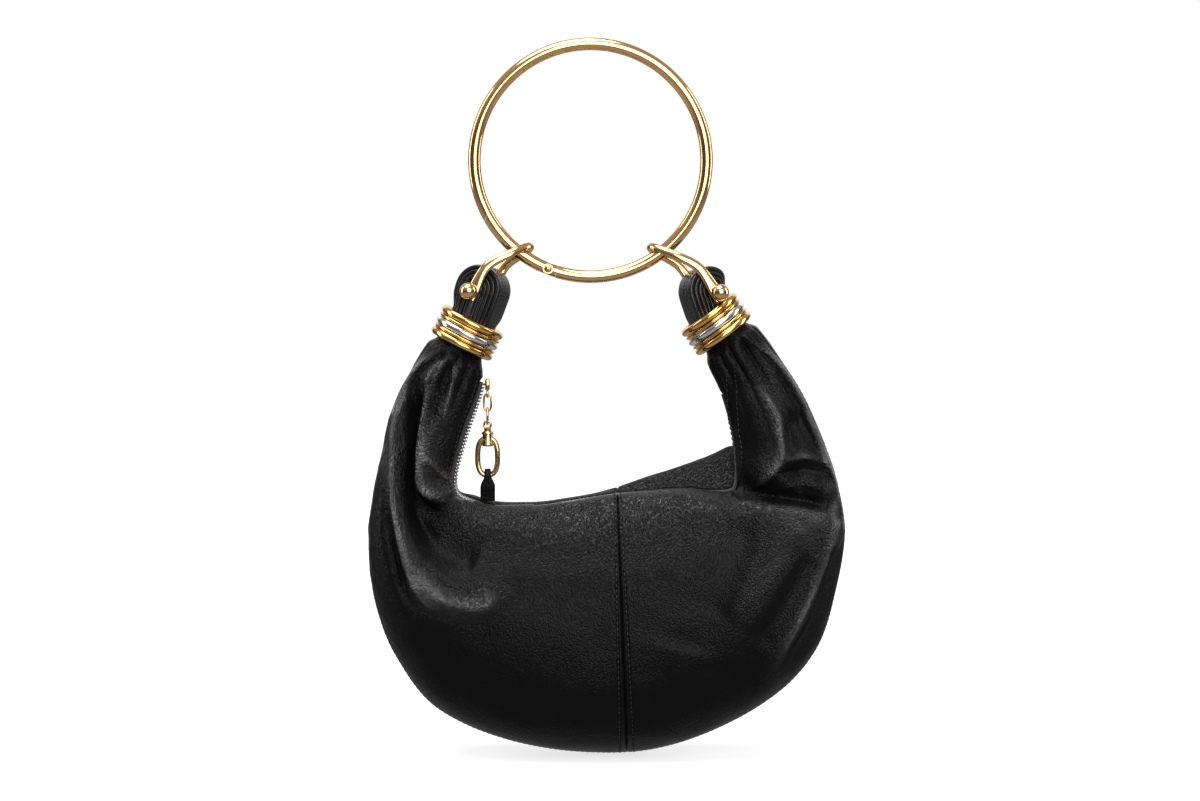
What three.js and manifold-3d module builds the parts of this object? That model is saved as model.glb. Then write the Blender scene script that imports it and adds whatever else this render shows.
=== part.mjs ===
// A soft leather shoulder bag. A crescent pouch of four sewn panels has a zip along its inner edge.
// Each neck goes up through a stack of rings and ends in a folded loop, and two shackles hang the loops
// on a large ring handle. Millimetres, +Z up, -Y to the front. The origin is where a hand holds the
// handle: inside its top.
import * as THREE from "three";
import { mergeVertices } from "three/addons/utils/BufferGeometryUtils.js";
import Module from "manifold-3d";

const wasm = await Module();
wasm.setup();

// Shared sizes.
const GAP = 0.35;
const LEATHER = 1.8;
const FRONT = -1;
const BACK = 1;
const DEGREE = Math.PI / 180;

// The ring handle, its gate and the gate's rivet. Angles run from +X towards +Z.
const HANDLE_RADIUS = 69.3;
const HANDLE_WIRE = 7.6;
const HANDLE_FACETS = { round: 9, along: 46 };
const HANDLE_CENTRE_Z = -(HANDLE_RADIUS - HANDLE_WIRE / 2);
const GATE_NOSE_INNER = 199.5;
const GATE_LAP_START = 202.5;
const GATE_LAP_END = 207.5;
const GATE_NOSE_OUTER = 210;
const GATE_HINGE_END = 253;
const GATE_NOSE_FLARE = 2.5;
const RIVET_ANGLE = 248.5;
const RIVET_SHAFT = 2.6;
const RIVET_PROUD = 0.4;
const HINGE_TONGUE = 2;
const HINGE_SLOT_RADIUS = 6.6;

// The shackles: each goes over the handle and holds a cross pin. Left and right swing about one line.
const SHACKLE_ANGLE = 52;
const SHACKLE_WIDE = 6.4;
const SHACKLE_NARROW = 4.8;
const SHACKLE_THICK = 3.4;
const SHACKLE_HALF_SPAN = 14.8;
const SHACKLE_BEND_HALF = 10.4;
const SHACKLE_BEND_PAST = 0.5;
const SHACKLE_SLACK = 2.2;
const SHACKLE_BOW = 4.2;
const SHACKLE_TIP_FLATTEN = 0.35;
const EYE_DIAMETER = 9.4;
const PIN_DIAMETER = 5;
const PIN_BALL = 10.4;
const PIN_BALL_AT = 21.7;
const PIN_YAW = 21;

// The stacks of rings round the necks, and the leather loops above them.
const STACK_RING_OUTER = 40.4;
const THICK_WIRE = 4.7;
const THIN_WIRE = 1.9;
const STACK_STEP = 3.45;
const LOOP_WIDTH = 29;
const LOOP_DEPTH = 20;
const LOOP_LAYERS = 2;
const LOOP_LAYER_STEP = 10;
const LOOP_LAYER_PROUD = 1;
const LOOP_ABOVE_PIN = 14.5;
const LOOP_BELOW_PIN = 16;
const STEM_HALF_WIDTH = 13.4;
const STEM_HALF_DEPTH = 12;
const NECKS = [
  { name: "left", side: -1, stack: [-73.9, -168.4], lean: 27, pin: [-64.5, -142.8], loopLean: 20 },
  { name: "right", side: 1, stack: [75.3, -163.2], lean: 37, pin: [69.3, -143.6], loopLean: 18 },
];
const RING_METALS = ["gold", "gold_thin", "silver", "gold_thin", "gold"];

// The pouch. Each row is a slanted section from the zip edge (rim) to the outer seam (hem), with its half
// depth to the front and to the back, how far the zip is sunk between the two shoulders, how far the back
// shoulder stands above the front one, which sags, and how far the section is turned so that the zip
// faces forward, in degrees.
const BODY_SECTIONS = [
  { rim: [-64.5, -201.6], hem: [-110.7, -197.0], front: 18, back: 18, sink: 0.5, lift: 0, twist: 4 },
  { rim: [-71.5, -225.0], hem: [-122.1, -229.0], front: 21, back: 21, sink: 0.5, lift: 0, twist: 17 },
  { rim: [-78.3, -250.8], hem: [-130.2, -267.0], front: 26, back: 26, sink: 1, lift: 0, twist: 20 },
  { rim: [-77.1, -262.2], hem: [-132.9, -297.0], front: 30, back: 30, sink: 3, lift: 0, twist: 13 },
  { rim: [-66.3, -264.0], hem: [-130.2, -328.0], front: 35, back: 34, sink: 8, lift: 0, twist: 5 },
  { rim: [-51.3, -265.8], hem: [-118.5, -361.0], front: 40, back: 39, sink: 11, lift: 0, twist: 0 },
  { rim: [-30.3, -264.6], hem: [-92.0, -395.0], front: 44, back: 43, sink: 11, lift: 0, twist: 0 },
  { rim: [-6.3, -261.6], hem: [-40.0, -416.4], front: 46, back: 45, sink: 9, lift: 0, twist: 0 },
  { rim: [15.9, -258.6], hem: [21.9, -421.5], front: 46, back: 46, sink: 8, lift: 3, twist: 0, seam: true },
  { rim: [35.7, -257.0], hem: [68.5, -410.5], front: 45, back: 46, sink: 8, lift: 9, twist: 0 },
  { rim: [53.7, -256.2], hem: [112.0, -386.0], front: 43, back: 44, sink: 8, lift: 15, twist: 0 },
  { rim: [68.7, -258.0], hem: [136.5, -358.0], front: 40, back: 40, sink: 8, lift: 25, twist: 0 },
  { rim: [79.2, -259.4], hem: [148.5, -320.0], front: 35, back: 35, sink: 6, lift: 34, twist: 0 },
  { rim: [83.0, -257.6], hem: [153.0, -288.0], front: 30, back: 31, sink: 4, lift: 32, twist: 0 },
  { rim: [83.6, -243.8], hem: [147.5, -256.0], front: 26, back: 27, sink: 3, lift: 16, twist: 0 },
  { rim: [81.4, -223.8], hem: [132.0, -214.6], front: 21, back: 21, sink: 2, lift: 1, twist: 0 },
  { rim: [75.8, -201.8], hem: [113.9, -184.0], front: 18, back: 18, sink: 1, lift: 0, twist: 0 },
];
// The necks inside and just below the rings: how far below the middle of the stack, and their half width.
const NECK_SECTIONS = [
  { below: 0.4, half: 14.2, depth: 13.8 },
  { below: 7, half: 14.3, depth: 13.9 },
  { below: 10.8, half: 15.2, depth: 14.8 },
  { below: 16, half: 18.6, depth: 17 },
];
const BELLY_FULLNESS = 0.22;
const VALLEY_HALF_WIDTH = 9;
const LIFT_FROM = 5.5;
const LIFT_START = 4.5;
const LIFT_FADE = 1.5;
const SEAM_GAP = 0.9;
const GATHER_COUNT = 8;
const GATHER_RISE = 1.3;
const GATHER_REACH = 26;
const RING_COVER = 12;
const FOLD_START = 12;
const GATHER_START = 6;

// Folds of the leather: a path in the front view, the rise of its crest (less than nothing for a hollow),
// and how far it spreads to the left and to the right of the path.
const FOLDS = [
  { name: "left_pleat", side: FRONT, rise: 5.5, left: 6, right: 4.5,
    path: [[-92, -180], [-115, -219], [-117, -262], [-101, -317]] },
  { name: "left_valley", side: FRONT, rise: -7, left: 6, right: 5,
    path: [[-97, -202], [-107, -236], [-106, -264], [-93, -296]] },
  { name: "left_sag", side: FRONT, rise: 5.5, left: 9, right: 9,
    path: [[-103.5, -307.8], [-88, -325], [-70, -329], [-54.3, -321]] },
  { name: "left_hollow", side: FRONT, rise: -7, left: 13, right: 9,
    path: [[-98, -266], [-92, -283], [-83, -295], [-66, -302]] },
  { name: "left_neck_fold", side: FRONT, rise: 4.5, left: 11, right: 5,
    path: [[-86, -198], [-99.5, -232], [-99, -258], [-76, -267]] },
  { name: "rim_dent", side: FRONT, rise: -2.5, left: 9, right: 9,
    path: [[-34, -275], [-25, -273], [-12, -274], [2, -280]] },
  { name: "right_crease", side: FRONT, rise: -6, left: 7, right: 6,
    path: [[84, -259], [100, -262.5], [122, -265.5], [141, -268.8]] },
  { name: "right_bulge", side: FRONT, rise: 4, left: 7, right: 12,
    path: [[80, -270], [100, -273], [122, -276], [142, -282]] },
  { name: "right_neck_ridge", side: FRONT, rise: 3.5, left: 8, right: 9,
    path: [[96, -196], [109, -217.8], [115.5, -238.2], [102, -255]] },
  { name: "right_tuck", side: FRONT, rise: -5, left: 9, right: 8,
    path: [[118, -214], [125, -234], [127, -247], [118, -257]] },
  { name: "right_outer_edge", side: FRONT, rise: 2.6, left: 7, right: 6,
    path: [[100, -182], [122.7, -202.2], [140, -245], [145, -270]] },
  { name: "right_panel_edge", side: FRONT, rise: 3.5, left: 12, right: 7,
    path: [[144, -276], [139, -300], [126, -330], [108, -362]] },
  { name: "right_groove", side: FRONT, rise: -4, left: 7, right: 7,
    path: [[148, -292], [142, -315], [131, -342], [117, -364]] },
  { name: "belly_valley", side: FRONT, rise: -3, left: 17, right: 17,
    path: [[76, -272], [70, -300], [62, -330], [55, -356]] },
  { name: "back_left_pleat", side: BACK, rise: 4, left: 8, right: 9,
    path: [[-96, -196], [-112, -236], [-112, -280], [-92, -330]] },
  { name: "back_left_hollow", side: BACK, rise: -5, left: 12, right: 12,
    path: [[-84, -214], [-95, -250], [-92, -282], [-70, -312]] },
  { name: "back_right_pleat", side: BACK, rise: 4, left: 9, right: 8,
    path: [[98, -192], [120, -224], [130, -262], [118, -322]] },
  { name: "back_right_hollow", side: BACK, rise: -5, left: 12, right: 12,
    path: [[92, -214], [106, -246], [104, -276], [84, -308]] },
  { name: "back_belly_valley", side: BACK, rise: -2.5, left: 18, right: 18,
    path: [[-26, -284], [-30, -310], [-38, -340], [-48, -366]] },
];
const FOLD_STEPS = 14;
const FOLD_END_FADE = 0.16;
const FOLD_END_SHARE = 0.25;
const FOLD_EDGE_FADE = 0.5;
const PANEL_COLUMN_WIDTH = 15.5;
const PANEL_ROWS = 11;

// The zip and what hangs from its slider.
const ZIP_HALF_WIDTH = 5.5;
const ZIP_THICK = 1.2;
const ZIP_TEETH_RISE = 0.9;
const ZIP_START = 21;
const ZIP_END = 34;
const ZIP_TAPER = 7;
const OVAL_FILL = 0.75;
const PULL_X = -61.8;
const SLIDER = { z: -199.5, width: 2.8, depth: 7, height: 7 };
const BAIL = { width: 5.4, height: 5.4, wire: 1.4, around: 10, sides: 4 };
const LINK = { width: 5.8, height: 11.4, wire: 1.4, around: 12, sides: 4 };
const CLASP = { neck: 4.2, neckHeight: 2.2, block: 7.2, blockHeight: 9, ringBelow: 2.6 };
const PULL_RING = { width: 15.2, height: 25.4, wire: 3.3, around: 16, sides: 5 };
const STRAP = { width: 8.8, foldWidth: 3.8, thick: 1.9, length: 15.5, close: 0.6 };

// Colours of the materials.
const FINISHES = {
  leather: new THREE.MeshStandardMaterial({ color: "#17171a", roughness: 0.48, metalness: 0 }),
  leather_edge: new THREE.MeshStandardMaterial({ color: "#141416", roughness: 0.55, metalness: 0 }),
  gold: new THREE.MeshStandardMaterial({ color: "#d9b878", roughness: 0.16, metalness: 1 }),
  yellow_gold: new THREE.MeshStandardMaterial({ color: "#cf9d3c", roughness: 0.18, metalness: 1 }),
  silver: new THREE.MeshStandardMaterial({ color: "#c9cbce", roughness: 0.16, metalness: 1 }),
  zip: new THREE.MeshStandardMaterial({ color: "#26262a", roughness: 0.6, metalness: 0.2 }),
};

const bag = new THREE.Group();

// Adds a named piece to the bag, or to a group of it.
function addPiece(name, geometry, finish, parent = bag) {
  const mesh = new THREE.Mesh(geometry, FINISHES[finish]);
  mesh.name = name;
  parent.add(mesh);
  return mesh;
}

// A closed geometry as a solid that can be joined and cut.
function solidOf(geometry) {
  const bare = new THREE.BufferGeometry();
  bare.setAttribute("position", geometry.getAttribute("position"));
  bare.setIndex(geometry.getIndex());
  const merged = mergeVertices(bare, 1e-3);
  const vertProperties = new Float32Array(merged.getAttribute("position").array);
  const triVerts = new Uint32Array(merged.getIndex().array);
  return new wasm.Manifold(new wasm.Mesh({ numProp: 3, vertProperties, triVerts }));
}

// The main body of a solid, without the slivers that a cut can leave.
function largest(solid) {
  return solid.decompose().sort((a, b) => b.volume() - a.volume())[0];
}

function geometryOf(solid) {
  const mesh = solid.getMesh();
  const geometry = new THREE.BufferGeometry();
  geometry.setAttribute("position", new THREE.BufferAttribute(new Float32Array(mesh.vertProperties), 3));
  geometry.setIndex(new THREE.BufferAttribute(new Uint32Array(mesh.triVerts), 1));
  geometry.computeVertexNormals();
  return geometry;
}

// A geometry from points and triangles, turned round where its triangles face inwards.
function closedGeometry(points, triangles) {
  let volume = 0;
  for (const [a, b, c] of triangles) {
    volume += points[a].dot(new THREE.Vector3().crossVectors(points[b], points[c]));
  }
  const facing = volume < 0 ? triangles.map(([a, b, c]) => [a, c, b]) : triangles;
  const geometry = new THREE.BufferGeometry();
  geometry.setAttribute("position", new THREE.Float32BufferAttribute(points.flatMap((p) => p.toArray()), 3));
  geometry.setIndex(facing.flat());
  geometry.computeVertexNormals();
  return geometry;
}

// A solid through a row of closed loops of points, with a flat cap at each end.
function loft(loops) {
  const size = loops[0].length;
  const points = loops.flat();
  const triangles = [];
  for (let i = 0; i + 1 < loops.length; i++) {
    for (let j = 0; j < size; j++) {
      const a = i * size + j;
      const b = i * size + ((j + 1) % size);
      triangles.push([a, b, b + size], [a, b + size, a + size]);
    }
  }
  const last = (loops.length - 1) * size;
  for (let j = 1; j + 1 < size; j++) {
    triangles.push([0, j + 1, j], [last, last + j, last + j + 1]);
  }
  return closedGeometry(points, triangles);
}

// A wall between two grids of points, closed along its four edges.
function wall(outer, inner) {
  const rows = outer.length;
  const columns = outer[0].length;
  const count = rows * columns;
  const points = [...outer.flat(), ...inner.flat()];
  const triangles = [];
  for (let i = 0; i + 1 < rows; i++) {
    for (let j = 0; j + 1 < columns; j++) {
      const a = i * columns + j;
      const b = a + columns;
      triangles.push([a, b, a + 1], [b, b + 1, a + 1]);
      triangles.push([count + a, count + a + 1, count + b], [count + b, count + a + 1, count + b + 1]);
    }
  }
  const rim = [];
  for (let j = 0; j < columns; j++) rim.push(j);
  for (let i = 1; i < rows; i++) rim.push(i * columns + columns - 1);
  for (let j = columns - 2; j >= 0; j--) rim.push((rows - 1) * columns + j);
  for (let i = rows - 2; i > 0; i--) rim.push(i * columns);
  rim.forEach((a, k) => {
    const b = rim[(k + 1) % rim.length];
    triangles.push([a, b, count + b], [a, count + b, count + a]);
  });
  return closedGeometry(points, triangles);
}

// A ring of round wire, upright in the XZ plane: an oval with its corners filled out.
function ovalRing({ width, height, wire, around, sides }) {
  const halfWidth = (width - wire) / 2;
  const halfHeight = (height - wire) / 2;
  const middle = (i) => {
    const angle = ((i % around) / around) * 2 * Math.PI;
    const fill = (value) => Math.sign(value) * Math.abs(value) ** OVAL_FILL;
    return new THREE.Vector3(halfWidth * fill(Math.cos(angle)), 0, halfHeight * fill(Math.sin(angle)));
  };
  const points = [];
  const triangles = [];
  const deep = new THREE.Vector3(0, 1, 0);
  for (let i = 0; i < around; i++) {
    const way = middle(i + 1).sub(middle(i + around - 1)).normalize();
    const out = new THREE.Vector3(way.z, 0, -way.x);
    for (let j = 0; j < sides; j++) {
      const angle = (j / sides) * 2 * Math.PI;
      const point = middle(i).addScaledVector(out, (Math.cos(angle) * wire) / 2);
      points.push(point.addScaledVector(deep, (Math.sin(angle) * wire) / 2));
      const next = ((i + 1) % around) * sides;
      const side = (j + 1) % sides;
      triangles.push([i * sides + j, next + j, next + side], [i * sides + j, next + side, i * sides + side]);
    }
  }
  return closedGeometry(points, triangles);
}

// A round bar along Y, with its middle at the origin.
function crossBar(radius, length, sides = 10) {
  return new THREE.CylinderGeometry(radius, radius, length, sides);
}

// The ring handle, its gate and its rivet
function handlePoint(angle, radius) {
  return new THREE.Vector2(Math.cos(angle * DEGREE) * radius, Math.sin(angle * DEGREE) * radius);
}

// The gate's share of the ring seen from the front: a lapped nose at one end and a straight cut at the hinge.
function gateRegion(extra) {
  const inside = HANDLE_RADIUS - HANDLE_WIRE;
  const outside = HANDLE_RADIUS + HANDLE_WIRE;
  const turn = extra / HANDLE_RADIUS / DEGREE;
  const corners = [
    handlePoint(GATE_NOSE_INNER - turn - GATE_NOSE_FLARE, inside),
    handlePoint(GATE_LAP_START - turn, HANDLE_RADIUS + extra),
    handlePoint(GATE_LAP_END - turn, HANDLE_RADIUS + extra),
    handlePoint(GATE_NOSE_OUTER - turn + GATE_NOSE_FLARE, outside),
  ];
  const steps = 6;
  for (let i = 0; i <= steps; i++) {
    const share = i / steps;
    const first = GATE_NOSE_OUTER + 2 * GATE_NOSE_FLARE;
    corners.push(handlePoint(first + (GATE_HINGE_END + turn - first) * share, outside));
  }
  for (let i = steps; i >= 0; i--) {
    const share = i / steps;
    corners.push(handlePoint(GATE_NOSE_INNER + (GATE_HINGE_END + turn - GATE_NOSE_INNER) * share, inside));
  }
  const depth = HANDLE_WIRE * 2;
  const geometry = new THREE.ExtrudeGeometry(new THREE.Shape(corners), { depth, bevelEnabled: false });
  return solidOf(geometry.translate(0, 0, -depth / 2));
}

function buildHandle() {
  const { round, along } = HANDLE_FACETS;
  const ring = solidOf(new THREE.TorusGeometry(HANDLE_RADIUS, HANDLE_WIRE / 2, round, along));
  const rivet = handlePoint(RIVET_ANGLE, HANDLE_RADIUS);
  const across = (radius, length) => {
    const bar = crossBar(radius, length).rotateX(Math.PI / 2);
    return solidOf(bar.translate(rivet.x, rivet.y, 0));
  };
  const bore = across(RIVET_SHAFT / 2 + GAP, HANDLE_WIRE * 2);
  const slot = across(HINGE_SLOT_RADIUS, HINGE_TONGUE + 2 * GAP);
  const tongueEnd = handlePoint(GATE_HINGE_END + 2, HANDLE_RADIUS);
  const tongueLength = tongueEnd.distanceTo(rivet) + HANDLE_WIRE / 2;
  const tongueBox = new THREE.BoxGeometry(tongueLength, HANDLE_WIRE * 0.8, HINGE_TONGUE);
  const tongueTurn = Math.atan2(tongueEnd.y - rivet.y, tongueEnd.x - rivet.x);
  const middle = rivet.clone().lerp(tongueEnd, 0.5);
  tongueBox.rotateZ(tongueTurn).translate(middle.x, middle.y, 0);
  const tongue = solidOf(tongueBox).intersect(ring);
  const body = ring.subtract(gateRegion(GAP)).add(tongue).subtract(bore);
  const gate = largest(ring.intersect(gateRegion(0)).subtract(slot).subtract(bore));
  const half = HANDLE_WIRE / 2;
  const rivetProfile = [
    new THREE.Vector2(0, -half - RIVET_PROUD),
    new THREE.Vector2(RIVET_SHAFT / 2, -half - RIVET_PROUD),
    new THREE.Vector2(RIVET_SHAFT / 2, half + RIVET_PROUD),
    new THREE.Vector2(0, half + RIVET_PROUD),
  ];
  const shaft = new THREE.LatheGeometry(rivetProfile, 12).rotateX(Math.PI / 2).translate(rivet.x, rivet.y, 0);
  const handle = new THREE.Group();
  handle.rotation.x = Math.PI / 2;
  handle.position.z = HANDLE_CENTRE_Z;
  bag.add(handle);
  addPiece("handle_ring", geometryOf(body), "gold", handle);
  addPiece("handle_gate", geometryOf(gate), "gold", handle);
  addPiece("gate_rivet", shaft, "gold", handle);
}

// The shackles and their pins
function pinDirection(neck) {
  return new THREE.Vector3(-neck.side * Math.sin(PIN_YAW * DEGREE), Math.cos(PIN_YAW * DEGREE), 0);
}

// Where a shackle hangs on the ring: the middle of the ring's wire.
function crossing(neck) {
  const x = neck.side * HANDLE_RADIUS * Math.cos(SHACKLE_ANGLE * DEGREE);
  const z = HANDLE_CENTRE_Z - HANDLE_RADIUS * Math.sin(SHACKLE_ANGLE * DEGREE);
  return new THREE.Vector3(x, 0, z);
}

function buildShackle(neck) {
  const pin = new THREE.Vector3(neck.pin[0], 0, neck.pin[1]);
  const across = pinDirection(neck);
  const hang = crossing(neck);
  const reach = hang.clone().sub(pin).normalize();
  const flat = new THREE.Vector3(-neck.side, 0, 0);
  const apexWay = reach.clone().lerp(flat, SHACKLE_TIP_FLATTEN).normalize();
  const outward = new THREE.Vector3().crossVectors(across, reach).normalize();
  const bow = outward.clone().multiplyScalar(outward.z > 0 ? SHACKLE_BOW : -SHACKLE_BOW);
  const apex = hang.clone().addScaledVector(apexWay, HANDLE_WIRE / 2 + SHACKLE_SLACK + SHACKLE_THICK / 2);
  const route = [];
  for (const end of [-1, 1]) {
    const eye = pin.clone().addScaledVector(across, end * SHACKLE_HALF_SPAN);
    const beside = hang.clone().addScaledVector(across, end * SHACKLE_BEND_HALF);
    beside.addScaledVector(apexWay, SHACKLE_BEND_PAST);
    const arm = pin.clone().lerp(hang, 0.5).addScaledVector(across, end * SHACKLE_HALF_SPAN).add(bow);
    route.push(end < 0 ? [eye, arm, beside] : [beside, arm, eye]);
  }
  const curve = new THREE.CatmullRomCurve3([...route[0], apex, ...route[1]], false, "centripetal");
  const steps = 14;
  const sides = 7;
  const loops = [];
  for (let i = 0; i <= steps; i++) {
    const share = i / steps;
    const at = curve.getPointAt(share);
    const along = curve.getTangentAt(share);
    const wide = outward.clone().addScaledVector(along, -outward.dot(along)).normalize();
    const thick = new THREE.Vector3().crossVectors(along, wide);
    const towardsBend = Math.sin(share * Math.PI) ** 3;
    const halfWide = (SHACKLE_WIDE + (SHACKLE_NARROW - SHACKLE_WIDE) * towardsBend) / 2;
    const loop = [];
    for (let j = 0; j < sides; j++) {
      const angle = (j / sides) * 2 * Math.PI;
      const point = at.clone().addScaledVector(wide, Math.cos(angle) * halfWide);
      loop.push(point.addScaledVector(thick, (Math.sin(angle) * SHACKLE_THICK) / 2));
    }
    loops.push(loop);
  }
  let solid = solidOf(loft(loops));
  const turn = new THREE.Matrix4().makeRotationZ(neck.side * PIN_YAW * DEGREE);
  for (const end of [-1, 1]) {
    const eye = pin.clone().addScaledVector(across, end * SHACKLE_HALF_SPAN);
    const disc = crossBar(EYE_DIAMETER / 2, SHACKLE_THICK).applyMatrix4(turn).translate(...eye.toArray());
    solid = solid.add(solidOf(disc));
  }
  const bore = crossBar(PIN_DIAMETER / 2 + GAP, PIN_BALL_AT * 3).applyMatrix4(turn);
  bore.translate(...pin.toArray());
  addPiece("shackle_" + neck.name, geometryOf(solid.subtract(solidOf(bore))), "gold");

  let pinSolid = solidOf(crossBar(PIN_DIAMETER / 2, PIN_BALL_AT * 2));
  for (const end of [-1, 1]) {
    const ball = new THREE.SphereGeometry(PIN_BALL / 2, 9, 6).translate(0, end * PIN_BALL_AT, 0);
    pinSolid = pinSolid.add(solidOf(ball));
  }
  const pinMesh = addPiece("shackle_pin_" + neck.name, geometryOf(pinSolid), "gold");
  pinMesh.rotation.z = neck.side * PIN_YAW * DEGREE;
  pinMesh.position.copy(pin);
}

// The ring stacks and the leather loops
function neckAxis(neck) {
  return new THREE.Vector3(-neck.side * Math.sin(neck.lean * DEGREE), 0, Math.cos(neck.lean * DEGREE));
}

function stackRing(index) {
  const wire = RING_METALS[index] === "gold_thin" ? THIN_WIRE : THICK_WIRE;
  const outer = RING_METALS[index] === "gold_thin" ? STACK_RING_OUTER - 0.8 : STACK_RING_OUTER;
  const sides = RING_METALS[index] === "gold_thin" ? 4 : 6;
  const geometry = new THREE.TorusGeometry((outer - wire) / 2, wire / 2, sides, 19);
  return geometry.translate(0, 0, (2 - index) * STACK_STEP);
}

function buildStack(neck) {
  const stack = new THREE.Group();
  stack.position.set(neck.stack[0], 0, neck.stack[1]);
  stack.rotation.y = -neck.side * neck.lean * DEGREE;
  bag.add(stack);
  RING_METALS.forEach((metal, index) => {
    const finish = metal === "silver" ? "silver" : "yellow_gold";
    addPiece("neck_" + neck.name + "_ring_" + (index + 1), stackRing(index), finish, stack);
  });
}

// A leather loop: nested layers folded over the pin, and a stem of the same layers down inside the rings.
function buildLoop(neck) {
  const turn = new THREE.Euler(0, -neck.side * neck.loopLean * DEGREE, 0);
  const place = new THREE.Matrix4().makeRotationFromEuler(turn);
  place.multiply(new THREE.Matrix4().makeRotationZ(neck.side * PIN_YAW * DEGREE));
  place.setPosition(neck.pin[0], 0, neck.pin[1]);
  let solid = null;
  for (let layer = 0; layer < LOOP_LAYERS; layer++) {
    const half = LOOP_WIDTH / 2 - (layer * LOOP_LAYER_STEP) / 2;
    const top = LOOP_ABOVE_PIN - half - (layer * LOOP_LAYER_STEP) / 2;
    const outline = new THREE.Shape();
    outline.moveTo(-half, -LOOP_BELOW_PIN);
    outline.lineTo(half, -LOOP_BELOW_PIN);
    outline.lineTo(half, top);
    outline.absarc(0, top, half, 0, Math.PI, false);
    outline.closePath();
    const depth = LOOP_DEPTH + 2 * layer * LOOP_LAYER_PROUD;
    const arch = new THREE.ExtrudeGeometry(outline, { depth, bevelEnabled: false, curveSegments: 4 });
    arch.translate(0, 0, -depth / 2).rotateX(Math.PI / 2).applyMatrix4(place);
    solid = solid ? solid.add(solidOf(arch)) : solidOf(arch);
  }
  const stackPlace = new THREE.Matrix4().makeRotationY(-neck.side * neck.lean * DEGREE);
  stackPlace.setPosition(neck.stack[0], 0, neck.stack[1]);
  const stemHeight = 4 * STACK_STEP;
  const stem = new THREE.CylinderGeometry(STEM_HALF_WIDTH, STEM_HALF_WIDTH, stemHeight, 14);
  stem.rotateX(Math.PI / 2).scale(1, STEM_HALF_DEPTH / STEM_HALF_WIDTH, 1);
  stem.translate(0, 0, stemHeight / 2 + GAP);
  solid = solid.add(solidOf(stem.applyMatrix4(stackPlace)));
  const ringTop = 2 * STACK_STEP + THICK_WIRE / 2 + GAP;
  const ringHole = STACK_RING_OUTER / 2 - THICK_WIRE - GAP;
  const keepOutProfile = [
    new THREE.Vector2(0, GAP - STACK_RING_OUTER),
    new THREE.Vector2(STACK_RING_OUTER, GAP - STACK_RING_OUTER),
    new THREE.Vector2(STACK_RING_OUTER, ringTop),
    new THREE.Vector2(ringHole + 1.5, ringTop),
    new THREE.Vector2(ringHole, ringTop - THICK_WIRE / 2),
    new THREE.Vector2(ringHole, GAP),
    new THREE.Vector2(0, GAP),
  ];
  const keepOut = new THREE.LatheGeometry(keepOutProfile, 14).rotateX(Math.PI / 2);
  solid = solid.subtract(solidOf(keepOut.applyMatrix4(stackPlace)));
  const bore = crossBar(PIN_DIAMETER / 2 + GAP, LOOP_DEPTH * 2);
  bore.rotateZ(neck.side * PIN_YAW * DEGREE).translate(neck.pin[0], 0, neck.pin[1]);
  solid = solid.subtract(solidOf(bore));
  addPiece("loop_" + neck.name, geometryOf(largest(solid)), "leather_edge");
}

// The pouch: one skin over all its sections, cut into panels at the seams
function neckSection(neck, row) {
  const axis = neckAxis(neck);
  const middle = new THREE.Vector3(neck.stack[0], 0, neck.stack[1]).addScaledVector(axis, -row.below);
  const out = new THREE.Vector3(neck.side * axis.z, 0, -neck.side * axis.x);
  const rim = middle.clone().addScaledVector(out, -row.half);
  const hem = middle.clone().addScaledVector(out, row.half);
  const shape = { front: row.depth, back: row.depth, sink: 0, lift: 0, twist: 0 };
  return { rim: [rim.x, rim.z], hem: [hem.x, hem.z], ...shape };
}

const SECTIONS = [
  ...NECK_SECTIONS.map((row) => neckSection(NECKS[0], row)),
  ...BODY_SECTIONS,
  ...NECK_SECTIONS.map((row) => neckSection(NECKS[1], row)).reverse(),
];
// How far along the bag each section stands, measured halfway between rim and hem.
const STATIONS = [0];
for (let i = 1; i < SECTIONS.length; i++) {
  const [a, b] = [SECTIONS[i - 1], SECTIONS[i]];
  const dx = (b.rim[0] + b.hem[0] - a.rim[0] - a.hem[0]) / 2;
  const dz = (b.rim[1] + b.hem[1] - a.rim[1] - a.hem[1]) / 2;
  STATIONS.push(STATIONS[i - 1] + Math.hypot(dx, dz));
}
const BAG_LENGTH = STATIONS[STATIONS.length - 1];
const SEAM_STATION = STATIONS[SECTIONS.findIndex((row) => row.seam)];

// A smooth value along the bag, through the value that each section gives.
function along(station, read) {
  let i = 0;
  while (i + 2 < STATIONS.length && STATIONS[i + 1] <= station) i++;
  const slope = (k) => {
    const low = Math.max(k - 1, 0);
    const high = Math.min(k + 1, STATIONS.length - 1);
    return (read(SECTIONS[high]) - read(SECTIONS[low])) / (STATIONS[high] - STATIONS[low]);
  };
  const span = STATIONS[i + 1] - STATIONS[i];
  const t = (station - STATIONS[i]) / span;
  const [a, b] = [read(SECTIONS[i]), read(SECTIONS[i + 1])];
  const rise = (2 * t ** 3 - 3 * t ** 2 + 1) * a + (3 * t ** 2 - 2 * t ** 3) * b;
  return rise + span * ((t ** 3 - 2 * t ** 2 + t) * slope(i) + (t ** 3 - t ** 2) * slope(i + 1));
}

function smoothStep(value) {
  const t = Math.min(Math.max(value, 0), 1);
  return t * t * (3 - 2 * t);
}

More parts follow.
